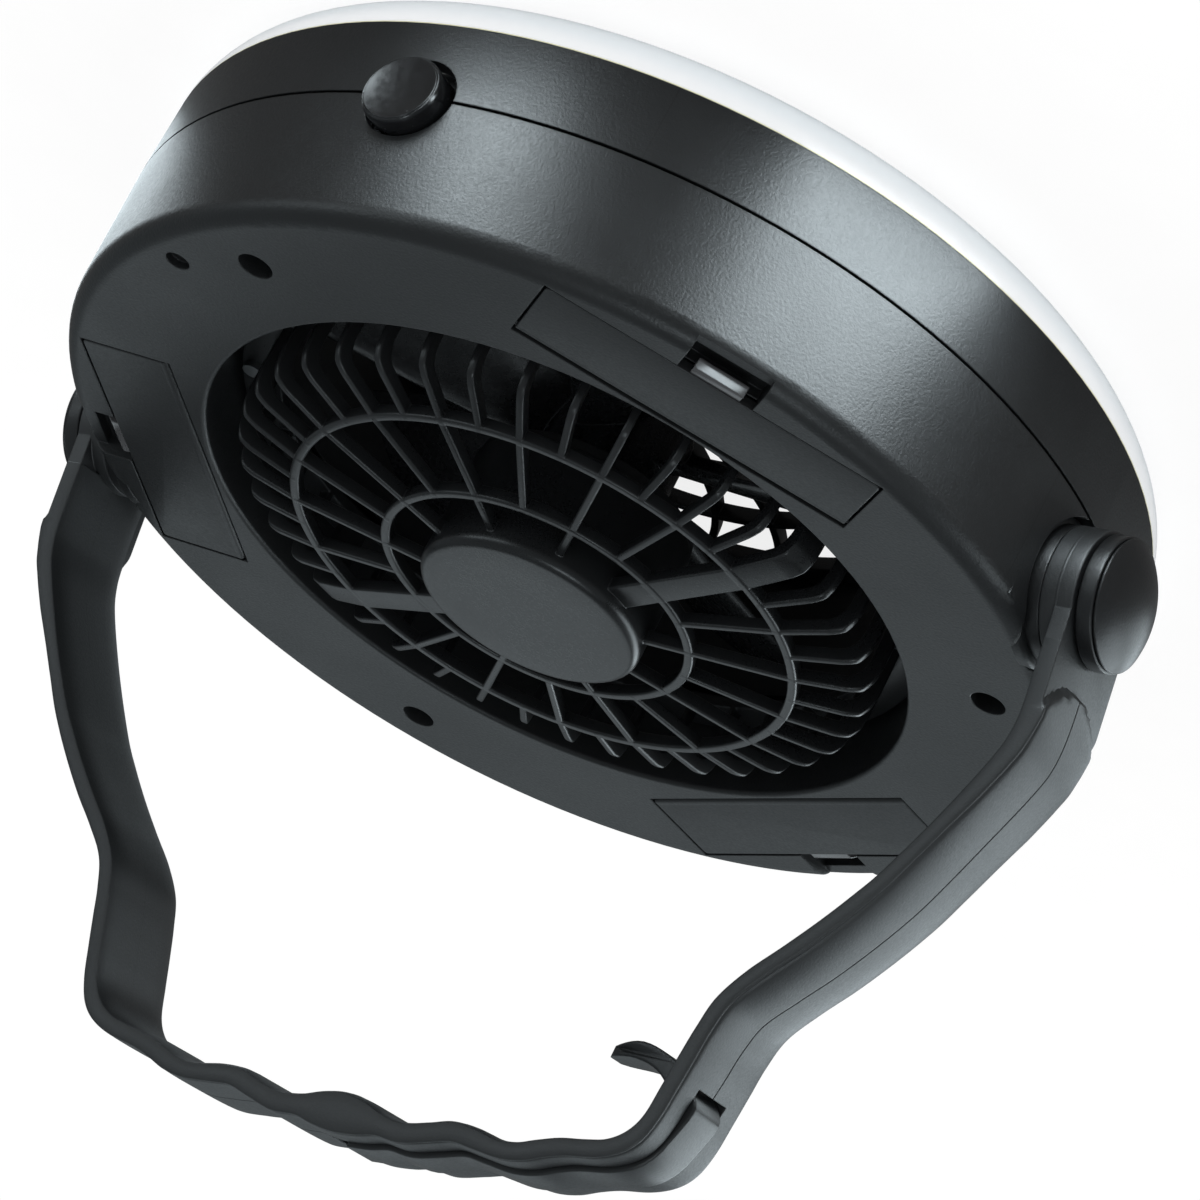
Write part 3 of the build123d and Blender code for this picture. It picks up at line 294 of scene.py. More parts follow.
chip_amber = grained("chip_amber", (0.75, 0.6, 0.16), 0.3, 1.0, 0.01, wear=0.1)
steel = metal("steel", (0.42, 0.425, 0.43), 0.34)
nickel = metal("nickel", (0.60, 0.58, 0.54), 0.28)
lens_milky = milky("lens_milky")
cell_skin = cell_wrap("cell_skin")

CAD_MATERIALS = {
    "rear_housing": shell_black,
    "front_housing": bezel_black,
    "diffuser": lens_milky,
    "led_board": board_white,
    "led_chips": chip_amber,
    "friction_washers": rubber,
    "control_board": board_green,
    "power_switch": switch_plastic,
    "switch_plunger": switch_plastic,
    "motor_clamp": inner_black,
    "motor_case": nickel,
    "motor_shaft": steel,
    "hook_pin": steel,
    "housing_screws": steel,
    "grille_screws": steel,
    "clamp_screws": steel,
    "pivot_screws": steel,
    "contact_plates": nickel,
    "battery_springs": nickel,
    "battery_cell_1": cell_skin,
    "battery_cell_2": cell_skin,
    "battery_cell_3": cell_skin,
}
for name, cad_object in nodes.items():
    cad_object.data.materials.clear()
    cad_object.data.materials.append(CAD_MATERIALS.get(name, inner_black))


# ------------------------------------------------------------------ mesh helpers, in millimetres
def about_z(radius, height, angle):
    """A turned point about the fan's axis."""
    return Vector((radius * cos(angle), radius * sin(angle), height))


def about_button(radius, height, angle):
    """A turned point about the button's axis, with the cap set a little off the seam."""
    lift = BUTTON_LIFT if height > BUTTON_FLANGE else 0.0
    return Vector((radius * cos(angle), height, SEAM + radius * sin(angle) + lift))


def about_x(side):
    """Turned points about the handle's axis, outwards on one side of the fan."""

    def place(radius, height, angle):
        return Vector((side * height, radius * cos(angle), PIVOT + radius * sin(angle)))

    return place


def turned(angle):
    """Points of an upright section at one bearing in degrees: radius, height, and across it."""
    angle = radians(angle)

    def place(radius, height, across):
        return Vector((
            radius * cos(angle) - across * sin(angle),
            radius * sin(angle) + across * cos(angle),
            height,
        ))

    return place


def lying(angle):
    """Points of a flat outline at one bearing in degrees: radius, across it, and height."""
    place = turned(angle)
    return lambda radius, across, height: place(radius, height, across)


def circle(x, y, radius, turns):
    """Points of a round outline at the given turns, in degrees."""
    spins = [radians(turn) for turn in turns]
    return [Vector((x + radius * cos(spin), y + radius * sin(spin))) for spin in spins]


def in_handle(across, along, deep):
    """A point of the handle: across the fan, away from the pivot, and through the grip."""
    return Vector((
        across,
        -along * sin(LEAN) - deep * cos(LEAN),
        PIVOT + along * cos(LEAN) - deep * sin(LEAN),
    ))


def rounded(points, size, steps=4):
    """Ease the corners of a closed outline. A point may bring its own corner size."""
    eased = []
    for index, point in enumerate(points):
        here = Vector(point[:2])
        back = Vector(points[index - 1][:2]) - here
        forth = Vector(points[(index + 1) % len(points)][:2]) - here
        corner = point[2] if len(point) > 2 else size
        if corner <= 0.0:
            eased.append(here)
            continue
        start = here + back.normalized() * min(corner, 0.45 * back.length)
        end = here + forth.normalized() * min(corner, 0.45 * forth.length)
        for step in range(steps + 1):
            t = step / steps
            eased.append(start * (1 - t) ** 2 + here * 2 * t * (1 - t) + end * t * t)
    return eased


def through(points, steps):
    """Points along a smooth curve through the given ones."""
    points = [Vector(point) for point in points]
    padded = [2 * points[0] - points[1]] + points + [2 * points[-1] - points[-2]]
    curve = []
    for a, b, c, d in zip(padded, padded[1:], padded[2:], padded[3:]):
        for step in range(steps):
            t = step / steps
            square = (2 * a - 5 * b + 4 * c - d) * t**2
            cube = (3 * b - a - 3 * c + d) * t**3
            curve.append(0.5 * (2 * b + (c - a) * t + square + cube))
    return curve + [points[-1]]


def normals_left(run):
    """Unit normals on the left of an open run of points."""
    result = []
    for index in range(len(run)):
        step = run[min(index + 1, len(run) - 1)] - run[max(index - 1, 0)]
        result.append(Vector((-step.y, step.x)).normalized())
    return result


def moved(run, amount):
    """An open run of points, moved to its left."""
    return [point + normal * amount for point, normal in zip(run, normals_left(run))]


def inset(loop, amount):
    """Move a closed loop to its left, which is inwards for one that runs anticlockwise."""
    result = []
    for index, point in enumerate(loop):
        first = (point - loop[index - 1]).normalized()
        second = (loop[(index + 1) % len(loop)] - point).normalized()
        left = Vector((-first.y, first.x))
        middle = (left + Vector((-second.y, second.x))).normalized()
        result.append(point + middle * amount / max(middle.dot(left), 0.5))
    return result


def skin(bm, rows, closed=False):
    """Faces between neighbouring rows, each of which is a closed ring."""
    count = len(rows[0])
    for first, second in zip(rows, rows[1:] + (rows[:1] if closed else [])):
        for index in range(count):
            after = (index + 1) % count
            bm.faces.new((first[index], first[after], second[after], second[index]))


def loft(bm, rings):
    """A closed skin through rings of points, with flat ends."""
    rows = [[bm.verts.new(point) for point in ring] for ring in rings]
    skin(bm, rows)
    bm.faces.new(rows[0])
    bm.faces.new(rows[-1])


def lathe(bm, profile, place, segments=128):
    """Turn a closed profile of radius and height round an axis."""
    rows = []
    for index in range(segments):
        angle = 2 * pi * index / segments
        rows.append([bm.verts.new(place(point[0], point[1], angle)) for point in profile])
    skin(bm, rows, closed=True)


def plate(bm, loops, low, high, edge, place):
    """A slab with eased edges. Its outer loop runs anticlockwise and its holes clockwise."""
    levels = [(low, 0.0), (high, 0.0)]
    if edge:
        turns = [index * pi / 8 for index in range(5)]
        eased = [(edge * (1 - cos(turn)), edge * (1 - sin(turn))) for turn in turns]
        levels = [(low + rise, amount) for rise, amount in eased]
        levels += [(high - rise, amount) for rise, amount in reversed(eased)]
    ends = ([], [])
    for loop in loops:
        rows = []
        for height, amount in levels:
            ring = inset(loop, amount)
            rows.append([bm.verts.new(place(point.x, point.y, height)) for point in ring])
        skin(bm, rows)
        ends[0].extend(rows[0])
        ends[1].extend(rows[-1])
    flat = [[Vector((point.x, point.y, 0.0)) for point in inset(loop, edge)] for loop in loops]
    for triangle in tessellate_polygon(flat):
        for end in ends:
            bm.faces.new([end[index] for index in triangle])


def to_object(name, bm, material, smooth=35.0):
    """Turn a mesh in millimetres into an object, sharp over edges beyond the smooth angle."""
    bmesh.ops.remove_doubles(bm, verts=bm.verts, dist=1e-4)
    bmesh.ops.recalc_face_normals(bm, faces=bm.faces)
    mesh = bpy.data.meshes.new(name)
    bm.to_mesh(mesh)
    bm.free()
    mesh.transform(Matrix.Scale(MM, 4))
    mesh.shade_smooth()
    mesh.set_sharp_from_angle(angle=radians(smooth))
    mesh.materials.append(material)
    piece = bpy.data.objects.new(name, mesh)
    scene.collection.objects.link(piece)
    return piece


def add_piece(name, bm, material, body, replaced=()):
    """A finished piece that rides on a body and may stand in for solids."""
    piece = to_object(name, bm, material)
    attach(piece, body)
    if replaced:
        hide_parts(*replaced)
    return piece


def cut(piece, cutters):
    """Take closed meshes away from a piece and leave a plain mesh."""
    for cutter in cutters:
        step = piece.modifiers.new("cut", "BOOLEAN")
        step.operation = "DIFFERENCE"
        step.solver = "MANIFOLD"
        step.object = cutter
    graph = bpy.context.evaluated_depsgraph_get()
    result = bpy.data.meshes.new_from_object(piece.evaluated_get(graph))
    piece.modifiers.clear()
    piece.data = result
    for cutter in cutters:
        bpy.data.objects.remove(cutter)


# ------------------------------------------------------------------ handle
OUTER_RUN = [
    (0.0, 109.2), (4.1, 108.8), (7.6, 108.1), (12.1, 108.3), (17.1, 107.1), (21.1, 106.1),
    (25.1, 106.4), (30.1, 106.8), (34.1, 106.2), (37.6, 104.9), (41.0, 103.9), (46.1, 103.0),
    (50.1, 101.4), (52.8, 98.9), (54.6, 95.0), (55.9, 90.0), (57.1, 85.0), (58.3, 80.0),
    (60.2, 75.0), (64.2, 70.0), (69.0, 65.0), (73.3, 60.0), (77.2, 55.0), (80.6, 50.0),
    (86.4, 40.0), (91.6, 30.6), (93.3, 26.0), (93.9, 20.0), (93.9, 10.0),
]
INNER_RUN = [
    (0.0, 102.8), (3.9, 103.4), (7.9, 104.7), (11.9, 105.1), (15.9, 104.2), (19.9, 103.1),
    (23.9, 103.2), (28.5, 104.0), (31.9, 103.8), (35.4, 102.6), (39.0, 101.5), (43.2, 100.8),
    (46.9, 99.9), (49.9, 98.0), (51.9, 95.0), (53.2, 90.0), (54.4, 85.0), (55.7, 80.0),
    (57.4, 75.0), (60.9, 70.0), (65.6, 65.0), (70.1, 60.0), (74.2, 55.0), (77.9, 50.0),
    (84.0, 40.0), (89.3, 30.0), (91.1, 25.0), (91.6, 20.0), (91.6, 10.0),
]
CROWNS = 13 * [0.2] + [0.3, 0.4, 0.6, 0.9, 1.1, 1.4] + 10 * [1.8]
RUN_STEPS = 10
EYE_FACE = 94.6
EYE_BACK = 89.05
EYE_FRONT = 91.62
EYE_BORE = 6.05
EYE_RADIUS = 11.1
PANEL_FACE = EYE_FACE - 0.05
PANEL_RADIUS = 12.5
PANEL_HEIGHT = 28.0
PANEL_END = 36.0
PANEL_RAMP = 0.9
# how far the near edge stands out from the outline, by distance from the pivot
LIP = [
    (18.0, 1.4), (22.0, 1.4), (24.0, 1.1), (26.0, 0.85), (30.0, 0.6), (36.0, 0.55), (42.0, 0.2),
    (48.0, 0.0),
]
KNUCKLE_HEIGHT = 105.9
SLOT_HALF = 4.9


def lip_height(along):
    """Height of the near edge of the arm, from the list above."""
    if along >= LIP[-1][0]:
        return 0.0
    if along <= LIP[0][0]:
        return LIP[0][1]
    for (start, first), (end, second) in zip(LIP, LIP[1:]):
        if along <= end:
            return first + (second - first) * (along - start) / (end - start)


def crown_share(deep):
    """How much of the crown a point across the width of the arm has."""
    return max(1 - abs((deep - 0.5) / 10.2) ** 2.8, 0.0) ** 0.75


# depth through the grip, and offset from the outline: a fine groove runs beside the near edge and
# another along the middle
OUTER_PROFILE = [
    (-10.0, -0.3), (-9.93, -0.08), (-9.78, 0.02), (-9.58, 0.04), (-9.45, -0.12), (-9.3, -0.2),
    (-9.12, -0.06), (-8.9, 0.0), (-8.4, 0.0), (-7.8, 0.0), (-7.0, 0.0), (-6.0, 0.0), (-5.0, 0.0),
    (-3.5, 0.0), (-2.0, 0.0), (-0.7, 0.0), (-0.16, 0.0), (-0.04, -0.16), (0.04, -0.16), (0.16, 0.0),
    (1.2, 0.0), (3.0, 0.0), (5.0, 0.0), (6.5, 0.0), (7.7, 0.0), (8.7, 0.0), (9.5, 0.0), (10.1, 0.0),
    (10.5, -0.02), (10.8, -0.12), (11.0, -0.45),
]
INNER_PROFILE = [
    (11.0, -0.45), (10.86, -0.12), (10.4, 0.04), (9.4, 0.3), (8.0, 0.52), (6.0, 0.6), (2.0, 0.6),
    (-2.0, 0.6), (-5.0, 0.6), (-7.4, 0.5), (-8.9, 0.26), (-9.6, 0.02), (-9.9, -0.1), (-10.0, -0.3),
]


def whole(run):
    """Both halves of the bow, from one end to the other."""
    return [(-across, along) for across, along in reversed(run[1:])] + list(run)


def panel_step(across, along, deep):
    """Sink the end of the raised arm to the face of the eye along a round step."""
    if along > PANEL_END or abs(across) < PANEL_FACE:
        return across
    reach = sqrt(max(PANEL_RADIUS**2 - deep**2, 0.0))
    share = min(max((along - PANEL_HEIGHT + reach) / PANEL_RAMP + 0.5, 0.0), 1.0)
    share = share * share * (3 - 2 * share)
    return (PANEL_FACE + (abs(across) - PANEL_FACE) * share) * (1 if across > 0 else -1)


def handle_rings():
    """Sections of the bow along its two outlines."""
    outer = through(whole(OUTER_RUN), RUN_STEPS)
    inner = through(whole(INNER_RUN), RUN_STEPS)
    crowns = list(reversed(CROWNS[1:])) + CROWNS
    sides = zip(outer, inner, normals_left(outer), normals_left(inner))
    rings = []
    for index, (top, low, top_normal, low_normal) in enumerate(sides):
        span, part = divmod(index / RUN_STEPS, 1)
        following = crowns[min(int(span) + 1, len(crowns) - 1)]
        crown = crowns[int(span)] * (1 - part) + following * part
        ring = []
        for deep, offset in OUTER_PROFILE:
            share = crown_share(deep)
            point = top + top_normal * (offset + share * crown + (1 - share) * lip_height(top.y))
            ring.append(in_handle(panel_step(point.x, point.y, deep), point.y, deep))
        for deep, offset in INNER_PROFILE:
            point = low - low_normal * offset
            ring.append(in_handle(point.x, point.y, deep))
        rings.append(ring)
    return rings


def eye_plate(bm, side):
    """The flat tab round a pivot, with the disc behind it."""
    tab = [
        (12.0, 0.0), (12.0, 19.0, 0.8), (10.0, 23.0, 1.5), (-9.98, 19.0), (-9.98, 4.86, 0.0),
    ]
    outline = rounded(tab, 0.3, 2) + circle(0.0, 0.0, EYE_RADIUS, range(154, 361, 3))
    hole = circle(0.0, 0.0, EYE_BORE, range(0, -360, -5))

    def place(deep, along, height):
        return in_handle(side * height, along, deep)

    plate(bm, [outline, hole], EYE_FRONT, EYE_FACE, 0.28, place)
    collar = [
        (EYE_BORE, EYE_BACK), (EYE_RADIUS, EYE_BACK, 0.35), (EYE_RADIUS, 91.9), (EYE_BORE, 91.9),
    ]
    lathe(bm, rounded(collar, 0.0), about_x(side), 144)


def slot_cutters():
    """The hook's channel, the mouth of its slot, and the two cuts for its knuckle."""
    run = through([point for point in OUTER_RUN if point[1] >= 90.0], 6)
    channel = moved(run, 3.6) + list(reversed(moved(run, -1.5)))
    mouth = [(50.6, 82.2), (62.0, 93.4), (62.0, 113.0), (42.6, 113.0), (42.6, 96.0)]
    notch = [(-5.6, 105.6), (1.4, 105.6), (1.4, 113.6), (-5.6, 113.6)]
    bore = circle(0.0, KNUCKLE_HEIGHT, 3.1, range(0, 360, 10))
    cutters = []
    for outline in (channel, mouth, notch, bore):
        bm = bmesh.new()
        loop = [Vector(point) for point in outline]
        plate(bm, [loop], -SLOT_HALF, SLOT_HALF, 0.0, in_handle)
        cutters.append(to_object("cutter", bm, handle_black))
    return cutters


bm = bmesh.new()
loft(bm, handle_rings())
handle = to_object("handle_bow", bm, handle_black, 40.0)
cut(handle, slot_cutters())
handle.data.shade_smooth()
handle.data.set_sharp_from_angle(angle=radians(32.0))
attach(handle, "handle")
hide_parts("handle")

SIDES = ((-1, "left"), (1, "right"))
for side, label in SIDES:
    bm = bmesh.new()
    eye_plate(bm, side)
    add_piece(f"handle_eye_{label}", bm, handle_black, "handle")

# ------------------------------------------------------------------ hook
HOOK_HALF = 4.6
HOOK_TIP = 44.6
TIP_LENGTH = 6.6
BEND = [
    (55.7, 95.2), (56.8, 92.8), (57.1, 91.0), (55.9, 88.9), (53.6, 86.8), (50.3, 84.4),
    (44.8, 83.0), (39.4, 84.4),
]
BELLY = [(38.7, 86.2), (44.3, 85.9), (48.6, 87.0), (51.8, 89.8), (53.2, 92.6), (53.4, 95.0)]


def hook_outline():
    """Round the strip: along its top, round the finger, back below it and round the knuckle."""
    shank = through(OUTER_RUN[:14], 4)
    top = moved(shank, 1.0)
    under = moved(shank, -1.2)
    knuckle = circle(0.0, KNUCKLE_HEIGHT, 2.8, range(20, -236, -16))
    finger = through([top[-1]] + BEND, 5)[1:] + through(BELLY + [under[-1]], 5)[:-1]
    return top[:-1] + finger + list(reversed(under[4:])) + knuckle + [Vector((0.0, 108.5))]


def on_hook(across, along, deep):
    """Like in_handle, with the corners of the finger's tip rounded off."""
    past = (HOOK_TIP - across) / TIP_LENGTH if along < 90.0 and across < HOOK_TIP else 0.0
    return in_handle(across, along, deep * sqrt(max(1 - past * past, 0.12)))


bm = bmesh.new()
plate(bm, [list(reversed(hook_outline()))], -HOOK_HALF, HOOK_HALF, 0.45, on_hook)
add_piece("hook_strip", bm, hook_black, "hook", ["hook"])

# ------------------------------------------------------------------ knobs
# profiles of radius and distance from the fan's middle
DOME_RADIUS = 18.2
DOME_MIDDLE = 83.4
BUSHING = [
    (1.55, 87.0, 0.0), (6.0, 87.0, 0.0), (6.0, 94.65, 0.0), (8.6, 94.65, 0.1), (8.6, 95.1, 0.0),
    (10.7, 95.1, 0.3), (10.7, 97.8, 0.3), (3.25, 97.8, 0.0), (3.25, 95.1, 0.0), (1.55, 95.1, 0.0),
]
CAP = [
    (0.0, 96.9), (3.2, 96.9), (3.2, 97.82), (9.9, 97.82), (10.28, 97.95), (10.42, 98.2),
    (10.38, 98.36),
]
CAP += [
    (DOME_RADIUS * sin(radians(turn)), DOME_MIDDLE + DOME_RADIUS * cos(radians(turn)))
    for turn in range(34, -1, -2)
]
WASHER = [
    (6.05, 87.0), (10.82, 87.0), (10.82, 86.3), (11.05, 86.3), (11.05, 89.02, 0.12), (6.05, 89.02),
]
SEAT = [(10.85, 84.4), (12.26, 84.4), (12.26, 86.5, 0.7), (10.85, 86.9, 0.3)]


def knob_piece(name, side, label, profile, material, node=None):
    """A ring turned about the handle's axis. The right-hand one stands in for both solids."""
    bm = bmesh.new()
    lathe(bm, profile, about_x(side), 144)
    replaced = [node] if node and side > 0 else []
    add_piece(f"{name}_{label}", bm, material, "base", replaced)


for side, label in SIDES:
    bushing = rounded(BUSHING, 0.2, 3)
    knob_piece("knob_ring", side, label, bushing, knob_black, "pivot_bushings")
    knob_piece("knob_dome", side, label, CAP, knob_black, "knob_caps")
for side, label in SIDES:
    washer = rounded(WASHER, 0.0)
    knob_piece("washer", side, label, washer, knob_black, "friction_washers")
    knob_piece("pivot_seat", side, label, rounded(SEAT, 0.0), shell_black)

# ------------------------------------------------------------------ power button
DISH_RADIUS = 5.9
DISH_DEPTH = 0.62
DISH = [
    Vector((DISH_RADIUS * index / 16, BUTTON_FACE - DISH_DEPTH * (1 - (index / 16) ** 2)))
    for index in range(17)
]
BUTTON_SIDE = [
    (0.0, 81.2), (2.0, 81.2), (2.0, 83.6), (8.1, 83.6, 0.2), (8.1, 85.0, 0.2), (6.45, 85.0),
    (6.45, BUTTON_FACE - 0.75, 0.3), (6.2, BUTTON_FACE - 0.05, 0.25),
]
bm = bmesh.new()
lathe(bm, rounded(BUTTON_SIDE, 0.0, 4) + list(reversed(DISH)), about_button, 144)
add_piece("button_cap", bm, button_black, "button", ["power_button"])

# ------------------------------------------------------------------ rear grille
# radius, and rise above the back face
BAR_EDGE = [(26.8, 5.8), (44.0, 4.0), (53.0, 2.2), (55.2, 1.3), (56.2, -0.6), (56.6, -3.2)]
BAR_RETURN = [(54.2, -13.0), (54.2, -3.2), (53.5, -1.4), (52.3, -0.2), (44.0, 1.6), (26.8, 3.4)]


BAR_DEPTH = 2.4
BAR_WIDTH = 1.3
SPOKE_WIDTH = 5.2
SPOKE = 18.0
RING_HALF = 0.85
LEDGE = 35.0


def bar_outline(start, first_point):
    """A bar that starts on the dome and bends down into the well."""
    upper = [start] + BAR_EDGE[first_point:] + [(56.6, -13.0)]
    lower = BAR_RETURN[: len(BAR_RETURN) - first_point] + [(start[0], start[1] - BAR_DEPTH)]
    return rounded([(radius, BACK + rise) for radius, rise in reversed(upper + lower)], 0.8, 3)


def box_ring(inner, outer, low, high, ease):
    """A ring with a rectangular section and eased corners."""
    return rounded([(inner, low), (outer, low), (outer, high), (inner, high)], ease)


long_bar = bar_outline((18.6, 6.66), 0)
medium_bar = bar_outline((26.4, 5.8), 0)
short_bar = bar_outline((43.6, 4.0), 1)
bars = [(long_bar, SPOKE_WIDTH, SPOKE), (long_bar, SPOKE_WIDTH, SPOKE + 180)]
bars += [(long_bar, BAR_WIDTH, SPOKE + 36 * turn) for turn in (1, 2, 3, 4, 6, 7, 8, 9)]
bars += [(medium_bar, BAR_WIDTH, SPOKE + 18 + 36 * turn) for turn in range(10)]
bars += [(short_bar, BAR_WIDTH, SPOKE + 9 + 18 * turn) for turn in range(20)]
bm = bmesh.new()
for outline, width, angle in bars:
    plate(bm, [outline], -width / 2, width / 2, 0.35, turned(angle))
for radius, rise in BAR_EDGE[:2]:
    top = BACK + rise + 0.02
    ring = box_ring(radius - RING_HALF, radius + RING_HALF, top - BAR_DEPTH, top, 0.5)
    lathe(bm, ring, about_z, 160)
lathe(bm, box_ring(54.2, 61.2, 33.0, LEDGE, 0.3), about_z, 160)
cup = [
    (19.4, LEDGE), (19.4, 56.1, 1.9), (12.0, 56.1, 0.0), (0.0, 56.1, 0.0), (0.0, 54.3, 0.0),
    (17.8, 54.3, 0.4), (17.8, LEDGE),
]
lathe(bm, rounded(cup, 0.3, 6), about_z, 160)
lathe(bm, box_ring(12.25, 13.95, 42.3, 54.4, 0.0), about_z, 96)
for angle in (108.0, 288.0):
    plate(bm, [circle(15.9, 0.0, 2.7, range(0, 360, 12))], LEDGE, 54.4, 0.0, lying(angle))
add_piece("grille_dome", bm, grille_black, "base", ["rear_grille"])

# ------------------------------------------------------------------ front grille
RIB_COUNT = 24


def plain(across, along, height):
    """A point of a flat outline that lies on the front plane."""
    return Vector((across, along, height))


bm = bmesh.new()
swirl = through([(16.0, 0.0), (25.0, 3.7), (36.0, 6.0), (46.0, 5.6), (55.5, 3.0)], 6)
rib = list(reversed(moved(swirl, 0.7))) + moved(swirl, -0.7)
for turn in range(RIB_COUNT):
    spin = Matrix.Rotation(2 * pi * turn / RIB_COUNT, 2)
    plate(bm, [[spin @ point for point in rib]], 2.0, 5.0, 0.3, plain)
for inner, outer in ((29.3, 30.7), (42.3, 43.7), (55.0, 60.2)):
    lathe(bm, box_ring(inner, outer, 2.01, 4.99, 0.3), about_z, 160)
boss = [(0.0, 0.0, 0.0), (17.0, 0.0, 1.4), (17.0, 5.0, 0.3), (0.0, 5.0, 0.0)]
lathe(bm, rounded(boss, 0.3, 6), about_z, 160)
add_piece("grille_swirl", bm, grille_black, "base", ["front_grille"])

# ------------------------------------------------------------------ fan rotor
ROTOR_TOP = 30.6
ROTOR_BOTTOM = 14.6
ROTOR_MIDDLE = (ROTOR_TOP + ROTOR_BOTTOM) / 2
BLADE_COUNT = 5
BLADE_START = radians(58.0)
BLADE_ROOT = 9.0
BLADE_TIP = 54.9
BLADE_THICK = 1.5
BLADE_CAMBER = 2.0
EDGE_DROP = 1.4
ROOT_WIDTH, TIP_WIDTH = 15.0, 36.0
ROOT_PITCH, TIP_PITCH = 38.0, 20.0
# the share of the full taper and twist that is reached at the trimmed tip
TIP_REACH = 0.91
BLADE_STEPS = 24
CHORD = [
    -0.5, -0.492, -0.47, -0.42, -0.33, -0.2, -0.07, 0.07, 0.2, 0.33, 0.42, 0.47, 0.492, 0.5,
]


def blade_point(share, chord, lift, index):
    """A point of a blade: share of the way to the tip, place on the chord, side of the skin."""
    reach = TIP_REACH * share
    width = ROOT_WIDTH + (TIP_WIDTH - ROOT_WIDTH) * reach
    pitch = radians(ROOT_PITCH + (TIP_PITCH - ROOT_PITCH) * reach)
    camber = BLADE_CAMBER * (1 - (2 * chord) ** 2) - EDGE_DROP
    thick = BLADE_THICK * sqrt(max(1 - (2 * chord) ** 8, 0.0))
    offset = camber - BLADE_THICK / 2 + lift * thick / 2
    tangent = width * chord * cos(pitch) - offset * sin(pitch)
    height = ROTOR_MIDDLE + width * chord * sin(pitch) + offset * cos(pitch)
    tip = sqrt(BLADE_TIP**2 - tangent**2)
    radius = BLADE_ROOT + (tip - BLADE_ROOT) * share
    angle = BLADE_START + 2 * pi * index / BLADE_COUNT
    return Vector((
        radius * cos(angle) - tangent * sin(angle),
        radius * sin(angle) + tangent * cos(angle),
        min(max(height, ROTOR_BOTTOM), ROTOR_TOP),
    ))


bm = bmesh.new()
for index in range(BLADE_COUNT):
    rings = []
    for step in range(BLADE_STEPS + 1):
        share = step / BLADE_STEPS
        upper = [blade_point(share, chord, 1, index) for chord in CHORD]
        lower = [blade_point(share, chord, -1, index) for chord in reversed(CHORD[1:-1])]
        rings.append(upper + lower)
    loft(bm, rings)
hub = [
    (0.0, ROTOR_BOTTOM, 0.0), (11.5, ROTOR_BOTTOM, 1.8), (11.5, ROTOR_TOP), (9.7, ROTOR_TOP),
    (9.7, 16.4), (3.0, 16.4), (3.0, 28.8), (1.0, 28.8, 0.0), (1.0, 16.4, 0.0), (0.0, 16.4, 0.0),
]
lathe(bm, rounded(hub, 0.3, 5), about_z, 128)
add_piece("rotor_blades", bm, rotor_black, "rotor", ["fan_rotor"])

# ------------------------------------------------------------------ battery doors
DOOR_INNER = 63.6
DOOR_OUTER = 79.5
DOOR_HALF = 28.8
DOOR_THICK = 1.8
HINGE = DOOR_INNER + DOOR_THICK / 2
LATCH_HALF = 4.3
PANEL = [
    (HINGE, -DOOR_HALF, 0.3), (DOOR_OUTER, -DOOR_HALF), (DOOR_OUTER, DOOR_HALF),
    (HINGE, DOOR_HALF, 0.3),
]
# radius and half length of the hinge's barrel and of its pin
RODS = ((0.9, DOOR_HALF), (0.55, 30.1))
LATCH_TAB = [
    (DOOR_OUTER - 0.3, BACK - 1.9, 0.0), (DOOR_OUTER + 2.7, BACK - 1.9, 0.2),
    (DOOR_OUTER + 2.7, BACK - 1.45, 0.2), (DOOR_OUTER + 1.5, BACK - 0.3, 0.3),
    (DOOR_OUTER - 0.3, BACK - 0.3, 0.0),
]
for number, angle in enumerate((48.0, 168.0, 288.0), start=1):
    body = f"door_{number}"
    bm = bmesh.new()
    plate(bm, [rounded(PANEL, 0.9)], BACK - DOOR_THICK, BACK, 0.22, lying(angle))
    for radius, reach in RODS:
        rod = circle(HINGE, BACK - DOOR_THICK / 2, radius, range(0, 360, 15))
        plate(bm, [rod], -reach, reach, 0.1, turned(angle))
    replaced = [f"battery_door_{number}"]
    add_piece(f"door_panel_{number}", bm, door_black, body, replaced)
    bm = bmesh.new()
    # the latch tab's material is paler than the shell, a painted highlight
    plate(bm, [rounded(LATCH_TAB, 0.2, 3)], -LATCH_HALF, LATCH_HALF, 0.15, turned(angle))
    add_piece(f"door_latch_{number}", bm, latch_painted_sheen, body)


# ------------------------------------------------------------------ studio
COOL_WHITE = (0.84, 0.95, 1.0, 1.0)
SQUARE = ((-1, -1), (1, -1), (1, 1), (-1, 1))


def world_light():
    """Even white light, with a dim cool surround in the gloss."""
    world = bpy.data.worlds.new("studio")
    scene.world = world
    world.use_nodes = True
    tree = world.node_tree
    background = tree.nodes["Background"]
    rays = add_node(tree, "ShaderNodeLightPath")
    strength = remap(tree, rays.outputs["Is Glossy Ray"], 0.0, 1.0, 1.0, 0.22)
    tree.links.new(strength, background.inputs["Strength"])
    cool = blend_colours(tree, rays.outputs["Is Glossy Ray"], (1.0, 1.0, 1.0), (0.82, 0.94, 1.0))
    tree.links.new(cool, background.inputs["Color"])


def flat_mesh(name, corners, material):
    """One flat face of the studio."""
    mesh = bpy.data.meshes.new(name)
    mesh.from_pydata(corners, [], [tuple(range(len(corners)))])
    mesh.materials.append(material)
    piece = bpy.data.objects.new(name, mesh)
    scene.collection.objects.link(piece)
    return piece


def emission(tree, colour, strength):
    inputs = {"Color": colour, "Strength": strength}
    return add_node(tree, "ShaderNodeEmission", inputs).outputs[0]


